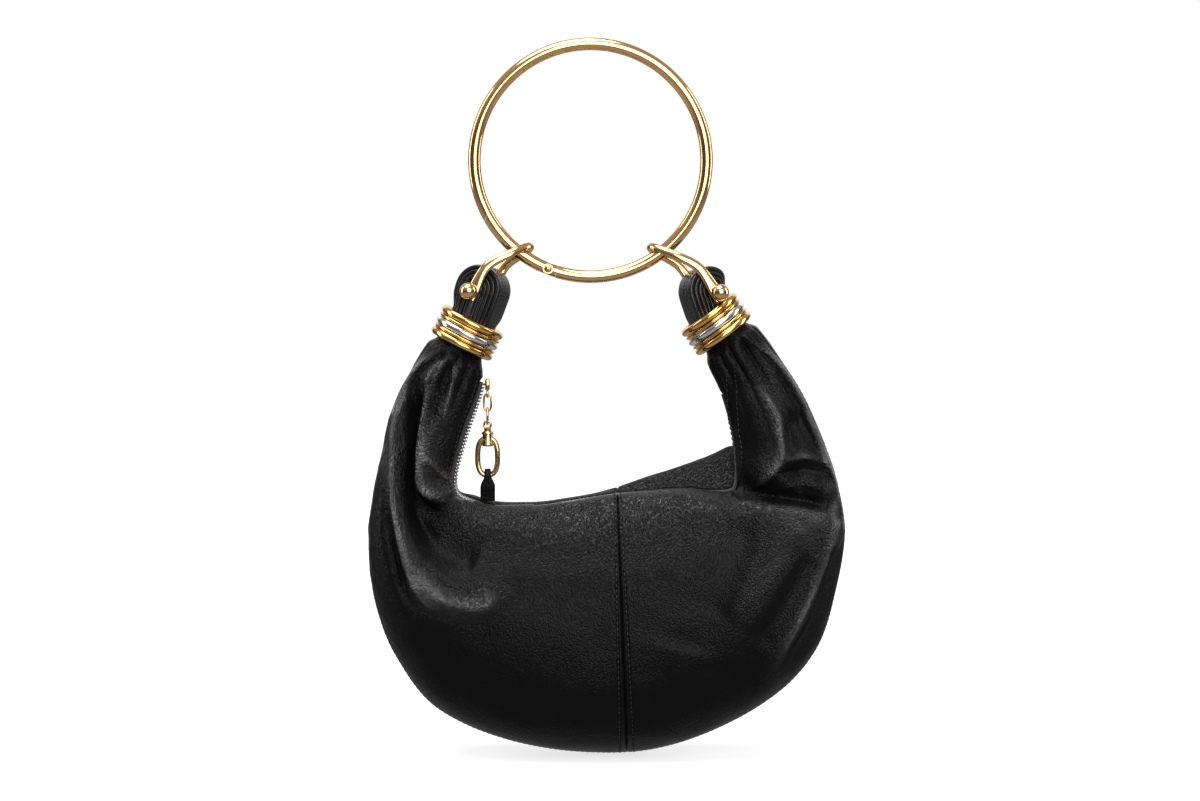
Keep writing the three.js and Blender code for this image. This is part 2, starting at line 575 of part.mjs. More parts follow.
// The plain skin at a station and an angle round the section: 0 at the zip, pi at the outer seam.
function plainSkin(station, angle, side) {
  const rim = [along(station, (row) => row.rim[0]), along(station, (row) => row.rim[1])];
  const hem = [along(station, (row) => row.hem[0]), along(station, (row) => row.hem[1])];
  const depth = along(station, (row) => (side === FRONT ? row.front : row.back));
  const length = Math.hypot(hem[0] - rim[0], hem[1] - rim[1]);
  const y = depth * Math.sin(angle) * (1 - BELLY_FULLNESS * Math.cos(angle));
  const nearZip = angle < Math.PI / 2 ? Math.exp(-((y / VALLEY_HALF_WIDTH) ** 2)) : 0;
  const down = (1 - Math.cos(angle)) / 2 + (along(station, (row) => row.sink) * nearZip) / length;
  const pastZip = Math.max(y - LIFT_FROM, 0);
  const upper = Math.max(Math.cos(angle), 0) ** LIFT_FADE;
  const liftShare = (1 - Math.exp(-((pastZip / LIFT_START) ** 2))) * upper;
  const lift = side === BACK ? along(station, (row) => row.lift) * liftShare : 0;
  const x = rim[0] + (hem[0] - rim[0]) * down;
  const z = rim[1] + (hem[1] - rim[1]) * down + lift;
  return new THREE.Vector3(x, side * y, z);
}

function plainNormal(station, angle, side) {
  const stationStep = 0.5;
  const angleStep = 0.01;
  const low = Math.max(station - stationStep, 0);
  const high = Math.min(station + stationStep, BAG_LENGTH);
  const lengthwise = plainSkin(high, angle, side).sub(plainSkin(low, angle, side));
  const round = plainSkin(station, angle + angleStep, side).sub(plainSkin(station, angle - angleStep, side));
  return round.cross(lengthwise).multiplyScalar(side === FRONT ? 1 : -1).normalize();
}

const FOLD_PATHS = FOLDS.map((fold) => {
  const curve = new THREE.SplineCurve(fold.path.map(([x, z]) => new THREE.Vector2(x, z)));
  return curve.getPoints(FOLD_STEPS);
});

// How far the folds push the skin out at a point of the turned, plain skin.
function foldRise(point, side) {
  let total = 0;
  FOLDS.forEach((fold, index) => {
    if (fold.side !== side) return;
    const path = FOLD_PATHS[index];
    let best = { distance: Infinity };
    for (let i = 0; i + 1 < path.length; i++) {
      const step = path[i + 1].clone().sub(path[i]);
      const offset = new THREE.Vector2(point.x, point.z).sub(path[i]);
      const t = Math.min(Math.max(offset.dot(step) / step.lengthSq(), 0), 1);
      const away = offset.sub(step.clone().multiplyScalar(t));
      const distance = away.length();
      if (distance < best.distance) {
        best = { distance, left: step.cross(away) > 0, share: (i + t) / (path.length - 1) };
      }
    }
    const spread = best.left ? fold.left : fold.right;
    const fade = smoothStep(best.share / FOLD_END_FADE) * smoothStep((1 - best.share) / FOLD_END_FADE);
    const strength = fold.rise * (FOLD_END_SHARE + (1 - FOLD_END_SHARE) * fade);
    total += strength * Math.exp(-((best.distance / spread) ** 2));
  });
  return total;
}

function skin(station, angle, side, lift = 0) {
  const plain = plainSkin(station, angle, side);
  const normal = plainNormal(station, angle, side);
  const fromRing = Math.min(station, BAG_LENGTH - station) - RING_COVER;
  const gatherFade = smoothStep(fromRing / GATHER_START) * Math.exp(-Math.max(fromRing, 0) / GATHER_REACH);
  const gather = GATHER_RISE * gatherFade * Math.cos(GATHER_COUNT * angle);
  const edge = smoothStep(angle / FOLD_EDGE_FADE) * smoothStep((Math.PI - angle) / FOLD_EDGE_FADE);
  const body = smoothStep(fromRing / FOLD_START);
  const rise = gather + body * foldRise(turned(station, plain), side);
  const point = plain.addScaledVector(normal, edge * rise + lift);
  if (angle > 0) point.y = side * Math.max(side * point.y, GAP / 2);
  return turned(station, point);
}

// A point of the skin, turned with its section about the middle line of the bag.
function turned(station, point) {
  const rim = [along(station, (row) => row.rim[0]), along(station, (row) => row.rim[1])];
  const hem = [along(station, (row) => row.hem[0]), along(station, (row) => row.hem[1])];
  const length = Math.hypot(hem[0] - rim[0], hem[1] - rim[1]);
  const outX = (hem[0] - rim[0]) / length;
  const outZ = (hem[1] - rim[1]) / length;
  const out = (point.x - (rim[0] + hem[0]) / 2) * outX + (point.z - (rim[1] + hem[1]) / 2) * outZ;
  const twist = along(station, (row) => row.twist) * DEGREE;
  const moved = out * Math.cos(twist) - point.y * Math.sin(twist) - out;
  const y = point.y * Math.cos(twist) + out * Math.sin(twist);
  return new THREE.Vector3(point.x + outX * moved, y, point.z + outZ * moved);
}

// The zip's half width at a station: nothing at the ends of the zip.
function zipHalf(station) {
  const start = smoothStep((station - ZIP_START) / ZIP_TAPER);
  const end = smoothStep((BAG_LENGTH - ZIP_END - station) / ZIP_TAPER);
  return ZIP_HALF_WIDTH * start * end;
}

function zipAngle(station, halfWidth, side) {
  const depth = along(station, (row) => (side === FRONT ? row.front : row.back));
  return halfWidth / (depth * (1 - BELLY_FULLNESS));
}

// The stations of a panel's columns: one at each section and zip end, and enough between for the folds.
const KEY_STATIONS = [
  ...STATIONS,
  ZIP_START,
  ZIP_START + ZIP_TAPER,
  BAG_LENGTH - ZIP_END - ZIP_TAPER,
  BAG_LENGTH - ZIP_END,
].sort((a, b) => a - b);
function panelStations(from, to) {
  const inside = KEY_STATIONS.filter((station) => station > from + 1 && station < to - 1);
  const ends = [from, ...inside, to];
  const columns = [from];
  for (let i = 1; i < ends.length; i++) {
    const count = Math.ceil((ends[i] - ends[i - 1]) / PANEL_COLUMN_WIDTH);
    for (let k = 1; k <= count; k++) columns.push(ends[i - 1] + ((ends[i] - ends[i - 1]) * k) / count);
  }
  return columns;
}

function buildPanel(name, side, from, to) {
  const outer = [];
  const inner = [];
  for (const station of panelStations(from, to)) {
    const start = zipAngle(station, zipHalf(station) + GAP, side);
    const depth = along(station, (row) => (side === FRONT ? row.front : row.back));
    const end = Math.PI - GAP / (depth * (1 + BELLY_FULLNESS));
    const outerRow = [];
    const innerRow = [];
    for (let j = 0; j <= PANEL_ROWS; j++) {
      const angle = start + ((end - start) * j) / PANEL_ROWS;
      outerRow.push(skin(station, angle, side));
      innerRow.push(skin(station, angle, side, -LEATHER));
    }
    outer.push(outerRow);
    inner.push(innerRow);
  }
  addPiece(name, wall(outer, inner), "leather");
}

function buildZip() {
  const outer = [];
  const inner = [];
  const shares = [-1, -0.36, 0.36, 1];
  const teeth = [0, ZIP_TEETH_RISE, ZIP_TEETH_RISE, 0];
  const from = ZIP_START + ZIP_TAPER;
  const to = BAG_LENGTH - ZIP_END - ZIP_TAPER;
  for (const station of panelStations(from, to)) {
    const half = zipHalf(station) - 2 * GAP;
    const outerRow = [];
    const innerRow = [];
    shares.forEach((share, k) => {
      const side = share < 0 ? FRONT : BACK;
      const angle = zipAngle(station, Math.abs(share) * half, side);
      outerRow.push(skin(station, angle, side, teeth[k]));
      innerRow.push(skin(station, angle, side, -ZIP_THICK));
    });
    outer.push(outerRow);
    inner.push(innerRow);
  }
  addPiece("zip_chain", wall(outer, inner), "zip");
}

// The slider and its pull: each link hangs on the bottom of the one above it
function buildPull() {
  const halfHeight = (ring) => (ring.height - ring.wire) / 2;
  const bottomOf = (ring, z) => z - halfHeight(ring);
  const hangFrom = (wireZ, wire, ring) => wireZ + (wire + ring.wire) / 2 + GAP - halfHeight(ring);
  const quarter = Math.PI / 2;
  const bailZ = SLIDER.z - SLIDER.height / 2 - BAIL.height / 2 + BAIL.wire / 2;
  const block = new THREE.BoxGeometry(SLIDER.width, SLIDER.depth, SLIDER.height);
  const body = solidOf(block.translate(0, 0, SLIDER.z));
  const sliderBail = solidOf(ovalRing(BAIL).rotateZ(quarter).translate(0, 0, bailZ));
  addPiece("zip_slider", geometryOf(body.add(sliderBail)), "gold").position.x = PULL_X;

  const upperZ = hangFrom(bottomOf(BAIL, bailZ), BAIL.wire, LINK);
  addPiece("pull_link_upper", ovalRing(LINK), "gold").position.set(PULL_X, 0, upperZ);
  const lowerZ = hangFrom(bottomOf(LINK, upperZ), LINK.wire, LINK);
  addPiece("pull_link_lower", ovalRing(LINK).rotateZ(quarter), "gold").position.set(PULL_X, 0, lowerZ);

  const eyeZ = hangFrom(bottomOf(LINK, lowerZ), LINK.wire, BAIL);
  const blockTop = bottomOf(BAIL, eyeZ) + BAIL.wire / 4;
  const neckBottom = blockTop - CLASP.neckHeight;
  const blockBottom = neckBottom - CLASP.blockHeight;
  const profile = [
    new THREE.Vector2(0, blockBottom),
    new THREE.Vector2(CLASP.block / 2, blockBottom),
    new THREE.Vector2(CLASP.block / 2, neckBottom),
    new THREE.Vector2(CLASP.neck / 2, neckBottom),
    new THREE.Vector2(CLASP.neck / 2, blockTop),
    new THREE.Vector2(0, blockTop),
  ];
  const ringZ = neckBottom - CLASP.ringBelow - PULL_RING.height / 2;
  const clasp = solidOf(new THREE.LatheGeometry(profile, 8).rotateX(quarter))
    .add(solidOf(ovalRing(BAIL).translate(0, 0, eyeZ)))
    .add(solidOf(ovalRing(PULL_RING).translate(0, 0, ringZ)));
  addPiece("pull_clasp", geometryOf(clasp), "gold").position.x = PULL_X;

  // The strap is folded over the bottom of the clasp's ring, narrow in the fold and full width below.
  const wireZ = bottomOf(PULL_RING, ringZ);
  const foldRadius = PULL_RING.wire / 2 + GAP + STRAP.thick / 2;
  const loops = [];
  const steps = 12;
  const addSection = (y, z, wayY, wayZ, width) => {
    const corners = [[-1, -1], [1, -1], [1, 1], [-1, 1]];
    loops.push(corners.map(([across, out]) => new THREE.Vector3(
      (across * width) / 2,
      y + (out * wayY * STRAP.thick) / 2,
      z + (out * wayZ * STRAP.thick) / 2,
    )));
  };
  addSection(-foldRadius * STRAP.close, wireZ - STRAP.length, -1, 0, STRAP.width);
  addSection(-foldRadius, wireZ - STRAP.length * 0.3, -1, 0, STRAP.width);
  for (let i = 0; i <= steps; i++) {
    const angle = Math.PI - (i / steps) * Math.PI;
    const [cos, sin] = [Math.cos(angle), Math.sin(angle)];
    addSection(foldRadius * cos, wireZ + foldRadius * sin, cos, sin, STRAP.foldWidth);
  }
  addSection(foldRadius, wireZ - STRAP.length * 0.3, 1, 0, STRAP.width);
  addSection(foldRadius * STRAP.close, wireZ - STRAP.length, 1, 0, STRAP.width);
  addPiece("pull_strap", loft(loops), "leather").position.x = PULL_X;
}

buildHandle();
for (const neck of NECKS) {
  buildShackle(neck);
  buildStack(neck);
  buildLoop(neck);
}
for (const [word, side] of [["front", FRONT], ["back", BACK]]) {
  buildPanel("panel_" + word + "_left", side, 0, SEAM_STATION - SEAM_GAP / 2);
  buildPanel("panel_" + word + "_right", side, SEAM_STATION + SEAM_GAP / 2, BAG_LENGTH);
}
buildZip();
buildPull();

export default bag;
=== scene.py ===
import math

import bmesh
import bpy
import numpy as np
from mathutils import Matrix, Vector, noise


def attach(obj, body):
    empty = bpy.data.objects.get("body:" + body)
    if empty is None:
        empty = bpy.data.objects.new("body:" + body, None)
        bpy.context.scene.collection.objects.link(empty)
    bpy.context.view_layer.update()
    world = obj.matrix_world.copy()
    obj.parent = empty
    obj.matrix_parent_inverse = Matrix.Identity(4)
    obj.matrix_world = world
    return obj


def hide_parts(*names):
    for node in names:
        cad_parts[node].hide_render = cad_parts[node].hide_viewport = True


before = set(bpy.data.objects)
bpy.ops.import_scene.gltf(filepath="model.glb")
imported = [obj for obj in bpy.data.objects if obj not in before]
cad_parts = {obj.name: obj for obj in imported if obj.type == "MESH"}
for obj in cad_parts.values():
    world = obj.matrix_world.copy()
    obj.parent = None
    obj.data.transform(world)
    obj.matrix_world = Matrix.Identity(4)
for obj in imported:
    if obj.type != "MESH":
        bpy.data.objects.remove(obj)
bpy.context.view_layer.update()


# The ring handle: a round bar bent into a ring and plated pale gold, polished all over.
# Low on the left a gate closes it. Its nose laps the ring, and a rivet through a tongue is its hinge.
MM = 0.001
GAP = 0.35
MERGED_POINTS = 1e-7
MERGED_CUTS = 2e-6
HANDLE_RADIUS = 69.3
HANDLE_WIRE = 7.6
HANDLE_CENTRE_Z = -(HANDLE_RADIUS - HANDLE_WIRE / 2)
GATE_NOSE_INNER = 199.5
GATE_LAP_START = 202.5
GATE_LAP_END = 207.5
GATE_NOSE_OUTER = 210
GATE_NOSE_FLARE = 2.5
GATE_HINGE_END = 253
GATE_GAP = 0.14
GATE_ARC_STEPS = 7
RIVET_ANGLE = 248.5
RIVET_SEAT = 2.7
RIVET_SEAT_RADIUS = 3.0
# One half of the rivet as (radius, y), from the crown of its head to its shank.
RIVET_HALF = [(0, 4.35), (1.0, 4.28), (1.8, 4.02), (2.3, 3.55), (2.4, 2.85), (1.3, 2.8)]
HINGE_TONGUE = 2
HINGE_SLOT_RADIUS = 6.6
HAIRLINE_ANGLES = (81.0, 97.0)
HAIRLINE_DEPTH = 0.16
HAIRLINE_WIDTH = 0.35
PALE_GOLD = (0.92, 0.58, 0.26, 1)
PALE_GOLD_ROUGHNESS = 0.11
METAL_DEEP_TONE = 0.9
METAL_TONE_SCALE = 60
HAZE_SCALE = 900
HAZE_LOW = 0.75
HAZE_HIGH = 1.3
POLISH_DEPTH = 0.0001
POLISH_STRENGTH = 0.25
# Most values of a noise field lie between these two.
FIELD_LOW = 0.3
FIELD_HIGH = 0.7


def mesh_object(name, points, faces, material):
    """A mesh piece from points in millimetres."""
    mesh = bpy.data.meshes.new(name)
    mesh.from_pydata((np.asarray(points, float).reshape(-1, 3) * MM).tolist(), [], faces)
    mesh.update()
    mesh.materials.append(material)
    mesh.shade_smooth()
    piece = bpy.data.objects.new(name, mesh)
    bpy.context.scene.collection.objects.link(piece)
    return piece


def weld(piece, reach=MERGED_POINTS):
    """Joins the points of a piece that meet, and turns its faces outwards."""
    shape = bmesh.new()
    shape.from_mesh(piece.data)
    bmesh.ops.remove_doubles(shape, verts=shape.verts, dist=reach)
    bmesh.ops.recalc_face_normals(shape, faces=shape.faces)
    shape.to_mesh(piece.data)
    shape.free()
    return piece


def outward(piece):
    return weld(piece, 0)


def grid_faces(rows, columns, close_rows=False, close_columns=False, start=0):
    """Quads over a grid of points stored row by row."""
    faces = []
    for i in range(rows if close_rows else rows - 1):
        for j in range(columns if close_columns else columns - 1):
            here = start + i * columns
            below = start + ((i + 1) % rows) * columns
            right = (j + 1) % columns
            faces.append((here + j, here + right, below + right, below + j))
    return faces


def bake(piece):
    """Turns what the modifiers of a piece make into its plain mesh."""
    evaluated = piece.evaluated_get(bpy.context.evaluated_depsgraph_get())
    mesh = bpy.data.meshes.new_from_object(evaluated)
    piece.modifiers.clear()
    piece.data = mesh
    return piece


def join_solids(piece, tool, operation):
    """Joins a closed tool to a closed piece, cuts it away or keeps what they share. The tool is used up."""
    bpy.context.view_layer.update()
    boolean = piece.modifiers.new("join", "BOOLEAN")
    boolean.operation = operation
    boolean.solver = "EXACT"
    boolean.object = tool
    bake(piece)
    bpy.data.objects.remove(tool)
    return piece


def smooth_by_angle(piece, degrees=35):
    """Shades a piece smooth, with crisp edges where its faces meet sharply."""
    shape = bmesh.new()
    shape.from_mesh(piece.data)
    bmesh.ops.remove_doubles(shape, verts=shape.verts, dist=MERGED_CUTS)
    for edge in shape.edges:
        edge.smooth = len(edge.link_faces) == 2 and edge.calc_face_angle(0) < math.radians(degrees)
    for face in shape.faces:
        face.smooth = True
    shape.to_mesh(piece.data)
    shape.free()


def finish_piece(piece, body, slot, *nodes):
    """Hands a finished piece to its body, in place of its CAD nodes. Its slot is not used."""
    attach(piece, body)
    if nodes:
        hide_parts(*nodes)


def feed(tree, node, inputs):
    """Sets each input of a node to its value, or links it where the value is another node's output."""
    for name, value in inputs.items():
        if isinstance(value, bpy.types.NodeSocket):
            tree.links.new(value, node.inputs[name])
        else:
            node.inputs[name].default_value = value


def add_node(tree, kind, inputs, **settings):
    node = tree.nodes.new(kind)
    for name, value in settings.items():
        setattr(node, name, value)
    feed(tree, node, inputs)
    return node


def new_material(name):
    """A node material: its tree, its shader and its object coordinates."""
    material = bpy.data.materials.new(name)
    material.use_nodes = True
    tree = material.node_tree
    place = tree.nodes.new("ShaderNodeTexCoord").outputs["Object"]
    return material, tree, tree.nodes["Principled BSDF"], place


def noise_field(tree, place, scale, detail):
    inputs = {"Vector": place, "Scale": scale, "Detail": detail}
    return add_node(tree, "ShaderNodeTexNoise", inputs).outputs["Fac"]


def map_range(tree, value, from_low, from_high, low, high):
    inputs = {"Value": value, "From Min": from_low, "From Max": from_high, "To Min": low, "To Max": high}
    return add_node(tree, "ShaderNodeMapRange", inputs).outputs["Result"]


def spread(tree, value, low, high):
    """Maps a field from the middle of its range to low and high."""
    return map_range(tree, value, FIELD_LOW, FIELD_HIGH, low, high)


def bump(tree, height, distance, strength):
    inputs = {"Height": height, "Distance": distance, "Strength": strength}
    return add_node(tree, "ShaderNodeBump", inputs).outputs["Normal"]


def colour_between(tree, value, dark, light):
    inputs = {"Factor": value, "A": dark, "B": light}
    return add_node(tree, "ShaderNodeMix", inputs, data_type="RGBA").outputs["Result"]


def scaled_colour(colour, share):
    return (*(share * part for part in colour[:3]), 1)


def polished_metal(name, colour, roughness):
    """Plated metal: faint polishing haze and a slow change of tone."""
    material, tree, shader, place = new_material(name)
    haze = noise_field(tree, place, HAZE_SCALE, detail=4)
    tone = noise_field(tree, place, METAL_TONE_SCALE, detail=2)
    feed(tree, shader, {
        "Metallic": 1.0,
        "Base Color": colour_between(tree, tone, scaled_colour(colour, METAL_DEEP_TONE), colour),
        "Roughness": spread(tree, haze, roughness * HAZE_LOW, roughness * HAZE_HIGH),
        "Normal": bump(tree, tone, POLISH_DEPTH, POLISH_STRENGTH)})
    return material


def on_handle(angle, radius, y=0.0):
    """A point of the ring handle, by its angle from +X towards +Z."""
    turn = math.radians(angle)
    return (radius * math.cos(turn), y, HANDLE_CENTRE_Z + radius * math.sin(turn))


def handle_tube(name, steps=240, sides=32):
    """The whole ring as a fine tube, with two hairlines scribed across its top."""
    points = []
    for angle in np.linspace(0, 360, steps, endpoint=False):
        nearest = min(abs(angle - line) for line in HAIRLINE_ANGLES) * math.radians(1) * HANDLE_RADIUS
        radius = HANDLE_WIRE / 2 - HAIRLINE_DEPTH * math.exp(-((nearest / HAIRLINE_WIDTH) ** 2))
        for side in range(sides):
            turn = 2 * math.pi * side / sides
            points.append(on_handle(angle, HANDLE_RADIUS + radius * math.cos(turn), radius * math.sin(turn)))
    return outward(mesh_object(name, points, grid_faces(steps, sides, True, True), pale_gold))


def prism(name, corners, half_depth):
    """A closed prism along Y over corners given as points of the front view."""
    count = len(corners)
    points = [(x, y, z) for y in (-half_depth, half_depth) for x, _, z in corners]
    faces = [tuple(range(count)), tuple(reversed(range(count, 2 * count)))]
    for i in range(count):
        after = (i + 1) % count
        faces.append((i, count + i, count + after, after))
    return outward(mesh_object(name, points, faces, pale_gold))


def drum(radius, low, high):
    """The profile of a plain cylinder between two places on its axis."""
    return [(0, low), (radius, low), (radius, high), (0, high)]


def lathe_about_y(name, profile, middle, material, sides=40, turn=0.0):
    """A turned piece about Y: a profile of (radius, y) that starts and ends on its axis."""
    points = []
    for radius, y in profile:
        for side in range(sides):
            angle = 2 * math.pi * side / sides
            points.append((radius * math.cos(angle), y, radius * math.sin(angle)))
    faces = grid_faces(len(profile), sides, False, True)
    points = np.asarray(points) @ np.array(Matrix.Rotation(turn, 3, "Z")).T + np.asarray(middle)
    return weld(mesh_object(name, points, faces, material))


def mirrored(half):
    """A whole profile from its half at positive y."""
    return half + [(radius, -y) for radius, y in reversed(half)]


def gate_region(extra):
    """The gate's share of the ring: a lapped nose at one end and a straight cut at the hinge."""
    inside = HANDLE_RADIUS - HANDLE_WIRE
    outside = HANDLE_RADIUS + HANDLE_WIRE
    turn = math.degrees(extra / HANDLE_RADIUS)
    hinge_end = GATE_HINGE_END + turn
    corners = [
        on_handle(GATE_NOSE_INNER - turn - GATE_NOSE_FLARE, inside),
        on_handle(GATE_LAP_START - turn, HANDLE_RADIUS + extra),
        on_handle(GATE_LAP_END - turn, HANDLE_RADIUS + extra),
        on_handle(GATE_NOSE_OUTER - turn + GATE_NOSE_FLARE, outside),
    ]
    for angle in np.linspace(GATE_NOSE_OUTER + 2 * GATE_NOSE_FLARE, hinge_end, GATE_ARC_STEPS):
        corners.append(on_handle(angle, outside))
    for angle in np.linspace(hinge_end, GATE_NOSE_INNER, GATE_ARC_STEPS):
        corners.append(on_handle(angle, inside))
    return prism("gate_region", corners, HANDLE_WIRE)


pale_gold = polished_metal("pale_gold", PALE_GOLD, PALE_GOLD_ROUGHNESS)
rivet_at = on_handle(RIVET_ANGLE, HANDLE_RADIUS)
half_tongue = HINGE_TONGUE / 2
ring_piece = join_solids(handle_tube("ring_bar"), gate_region(GATE_GAP), "DIFFERENCE")
tongue_profile = drum(HANDLE_WIRE / 2, -half_tongue, half_tongue)
tongue = lathe_about_y("hinge_tongue", tongue_profile, rivet_at, pale_gold)
join_solids(ring_piece, tongue, "UNION")
smooth_by_angle(ring_piece)
finish_piece(ring_piece, "handle", "gold", "handle_ring")
gate_piece = join_solids(handle_tube("ring_gate"), gate_region(0), "INTERSECT")
gate_cuts = [drum(HINGE_SLOT_RADIUS, -half_tongue - GAP, half_tongue + GAP)]
gate_cuts += [drum(RIVET_SEAT_RADIUS, end * RIVET_SEAT, end * HANDLE_WIRE) for end in (-1, 1)]
for profile in gate_cuts:
    join_solids(gate_piece, lathe_about_y("gate_cut", profile, rivet_at, pale_gold), "DIFFERENCE")
smooth_by_angle(gate_piece)
finish_piece(gate_piece, "handle", "gold", "handle_gate")
rivet_piece = lathe_about_y("ring_rivet", mirrored(RIVET_HALF), rivet_at, pale_gold)
finish_piece(rivet_piece, "handle", "gold", "gate_rivet")


# The shackles: flattened gold bars bent over the ring, with a flat eye at each end.
# A cross pin with a ball screwed on each end goes through the two eyes and the leather loop between them.
SHACKLE_ANGLE = 52
SHACKLE_WIDE = 6.4
SHACKLE_NARROW = 4.8
SHACKLE_WAIST_POWER = 3
SHACKLE_THICK = 3.4
SHACKLE_HALF_SPAN = 14.8
SHACKLE_BEND_HALF = 10.4
SHACKLE_BEND_PAST = 0.5
SHACKLE_SLACK = 2.2
SHACKLE_BOW = 4.2
SHACKLE_TIP_FLATTEN = 0.35
SHACKLE_STEPS = 110
SHACKLE_SIDES = 32
ROUTE_STEPS = 40
BAR_END = 5.2
BAR_END_FLARE = 0.7
BAR_END_FLARE_SHARE = 0.2
BAR_END_SQUARE = 0.55
BAR_END_SQUARE_SHARE = 0.14
BORE_SIDES = 32
PIN_DIAMETER = 5
PIN_BALL = 10.4
PIN_BALL_AT = 21.7
SHACKLE_BORE_REACH = 3 * PIN_BALL_AT
PIN_BALL_TURN = 0.83 * math.pi
PIN_BALL_STEPS = 22
PIN_COLLAR_RADIUS = 3.1
PIN_COLLAR_FROM = 4.45
PIN_COLLAR_TO = 4.75
PIN_SIDES = 40
PIN_YAW = math.radians(21)
NECKS = [
    {"name": "left", "side": -1, "stack": (-73.9, -168.4), "lean": 27,
     "pin": (-64.5, -142.8), "loop_lean": 20},
    {"name": "right", "side": 1, "stack": (75.3, -163.2), "lean": 37,
     "pin": (69.3, -143.6), "loop_lean": 18},
]


def unit(vector):
    return vector / np.linalg.norm(vector)


def mid_depth(place):
    """A point (x, z) of the front view, in the middle of the bag's depth."""
    return np.array([place[0], 0, place[1]])


def around(count):
    """Angles of a whole turn in even steps."""
    return np.linspace(0, 2 * math.pi, count, endpoint=False)


def cubic_weights(t):
    """How much the start, the slope there, the end and the slope there count along a smooth step."""
    return 2 * t**3 - 3 * t**2 + 1, t**3 - 2 * t**2 + t, 3 * t**2 - 2 * t**3, t**3 - t**2


def smooth_route(points, count):
    """Evenly spaced points on a smooth curve through a few points."""
    points = [np.asarray(point, float) for point in points]
    points = [2 * points[0] - points[1]] + points + [2 * points[-1] - points[-2]]
    fine = []
    for p0, p1, p2, p3 in zip(points, points[1:], points[2:], points[3:]):
        step0, step1, step2 = (np.linalg.norm(b - a) ** 0.5 for a, b in ((p0, p1), (p1, p2), (p2, p3)))
        slope1 = ((p1 - p0) / step0 - (p2 - p0) / (step0 + step1) + (p2 - p1) / step1) * step1
        slope2 = ((p2 - p1) / step1 - (p3 - p1) / (step1 + step2) + (p3 - p2) / step2) * step1
        for t in np.linspace(0, 1, ROUTE_STEPS, endpoint=False):
            start, start_slope, end, end_slope = cubic_weights(t)
            fine.append(start * p1 + start_slope * slope1 + end * p2 + end_slope * slope2)
    fine.append(points[-2])
    fine = np.array(fine)
    lengths = np.concatenate([[0], np.cumsum(np.linalg.norm(np.diff(fine, axis=0), axis=1))])
    even = np.linspace(0, lengths[-1], count)
    return np.stack([np.interp(even, lengths, fine[:, k]) for k in range(3)], axis=1)


def rounded(value, power):
    """A cosine or sine made fuller, so that a circle of them becomes a rounded square."""
    return np.sign(value) * np.abs(value) ** power


def smooth_step(value):
    """Rises smoothly from 0 at a value of 0 to 1 at a value of 1."""
    t = np.clip(value, 0, 1)
    return t * t * (3 - 2 * t)


def tube(name, loops, material):
    """A closed piece through a row of loops of points, with a cap at each end."""
    rows, sides = len(loops), len(loops[0])
    faces = grid_faces(rows, sides, False, True)
    faces += [tuple(range(sides)), tuple(range((rows - 1) * sides, rows * sides))]
    return outward(mesh_object(name, np.concatenate(loops), faces, material))


def bore_for_pin(piece, neck, reach):
    """Bores a piece for the cross pin of a neck."""
    profile = drum(PIN_DIAMETER / 2 + GAP, -reach, reach)
    turn = neck["side"] * PIN_YAW
    bore = lathe_about_y("bore", profile, mid_depth(neck["pin"]), piece.data.materials[0], BORE_SIDES, turn)
    join_solids(piece, bore, "DIFFERENCE")
    smooth_by_angle(piece, degrees=50)


def shackle_loops(neck):
    """Loops of points along a neck's bar: from one eye, up over the ring and down to the other eye."""
    pin = mid_depth(neck["pin"])
    side = neck["side"]
    across = np.array([-side * math.sin(PIN_YAW), math.cos(PIN_YAW), 0])
    turn = math.radians(SHACKLE_ANGLE)
    hang_x = side * HANDLE_RADIUS * math.cos(turn)
    hang = mid_depth((hang_x, HANDLE_CENTRE_Z - HANDLE_RADIUS * math.sin(turn)))
    reach = unit(hang - pin)
    flat = np.array([-side, 0, 0])
    apex_way = unit(reach * (1 - SHACKLE_TIP_FLATTEN) + flat * SHACKLE_TIP_FLATTEN)
    broad = unit(np.cross(across, reach))
    bow = broad * math.copysign(SHACKLE_BOW, broad[2])
    apex = hang + apex_way * (HANDLE_WIRE / 2 + SHACKLE_SLACK + SHACKLE_THICK / 2)
    arms = []
    for end in (-1, 1):
        eye = pin + across * end * SHACKLE_HALF_SPAN
        beside = hang + across * end * SHACKLE_BEND_HALF + apex_way * SHACKLE_BEND_PAST
        arms.append([eye, (pin + hang) / 2 + across * end * SHACKLE_HALF_SPAN + bow, beside])
    ends = [arm[0] + unit(arm[0] - arm[1]) * BAR_END for arm in arms]
    route = smooth_route([ends[0]] + arms[0] + [apex] + arms[1][::-1] + [ends[1]], SHACKLE_STEPS)
    angles = around(SHACKLE_SIDES)
    loops = []
    for share, point, way in zip(np.linspace(0, 1, len(route)), route, np.gradient(route, axis=0)):
        way = unit(way)
        wide = unit(broad - way * broad.dot(way))
        thick = np.cross(way, wide)
        waist = math.sin(share * math.pi) ** SHACKLE_WAIST_POWER
        from_end = min(share, 1 - share)
        half = (SHACKLE_WIDE + (SHACKLE_NARROW - SHACKLE_WIDE) * waist) / 2
        half += BAR_END_FLARE * (1 - smooth_step(from_end / BAR_END_FLARE_SHARE))
        squareness = 1 - BAR_END_SQUARE * (1 - smooth_step(from_end / BAR_END_SQUARE_SHARE))
        broadly = rounded(np.cos(angles), squareness) * half
        deeply = rounded(np.sin(angles), squareness) * SHACKLE_THICK / 2
        loops.append(point + np.outer(broadly, wide) + np.outer(deeply, thick))
    return loops


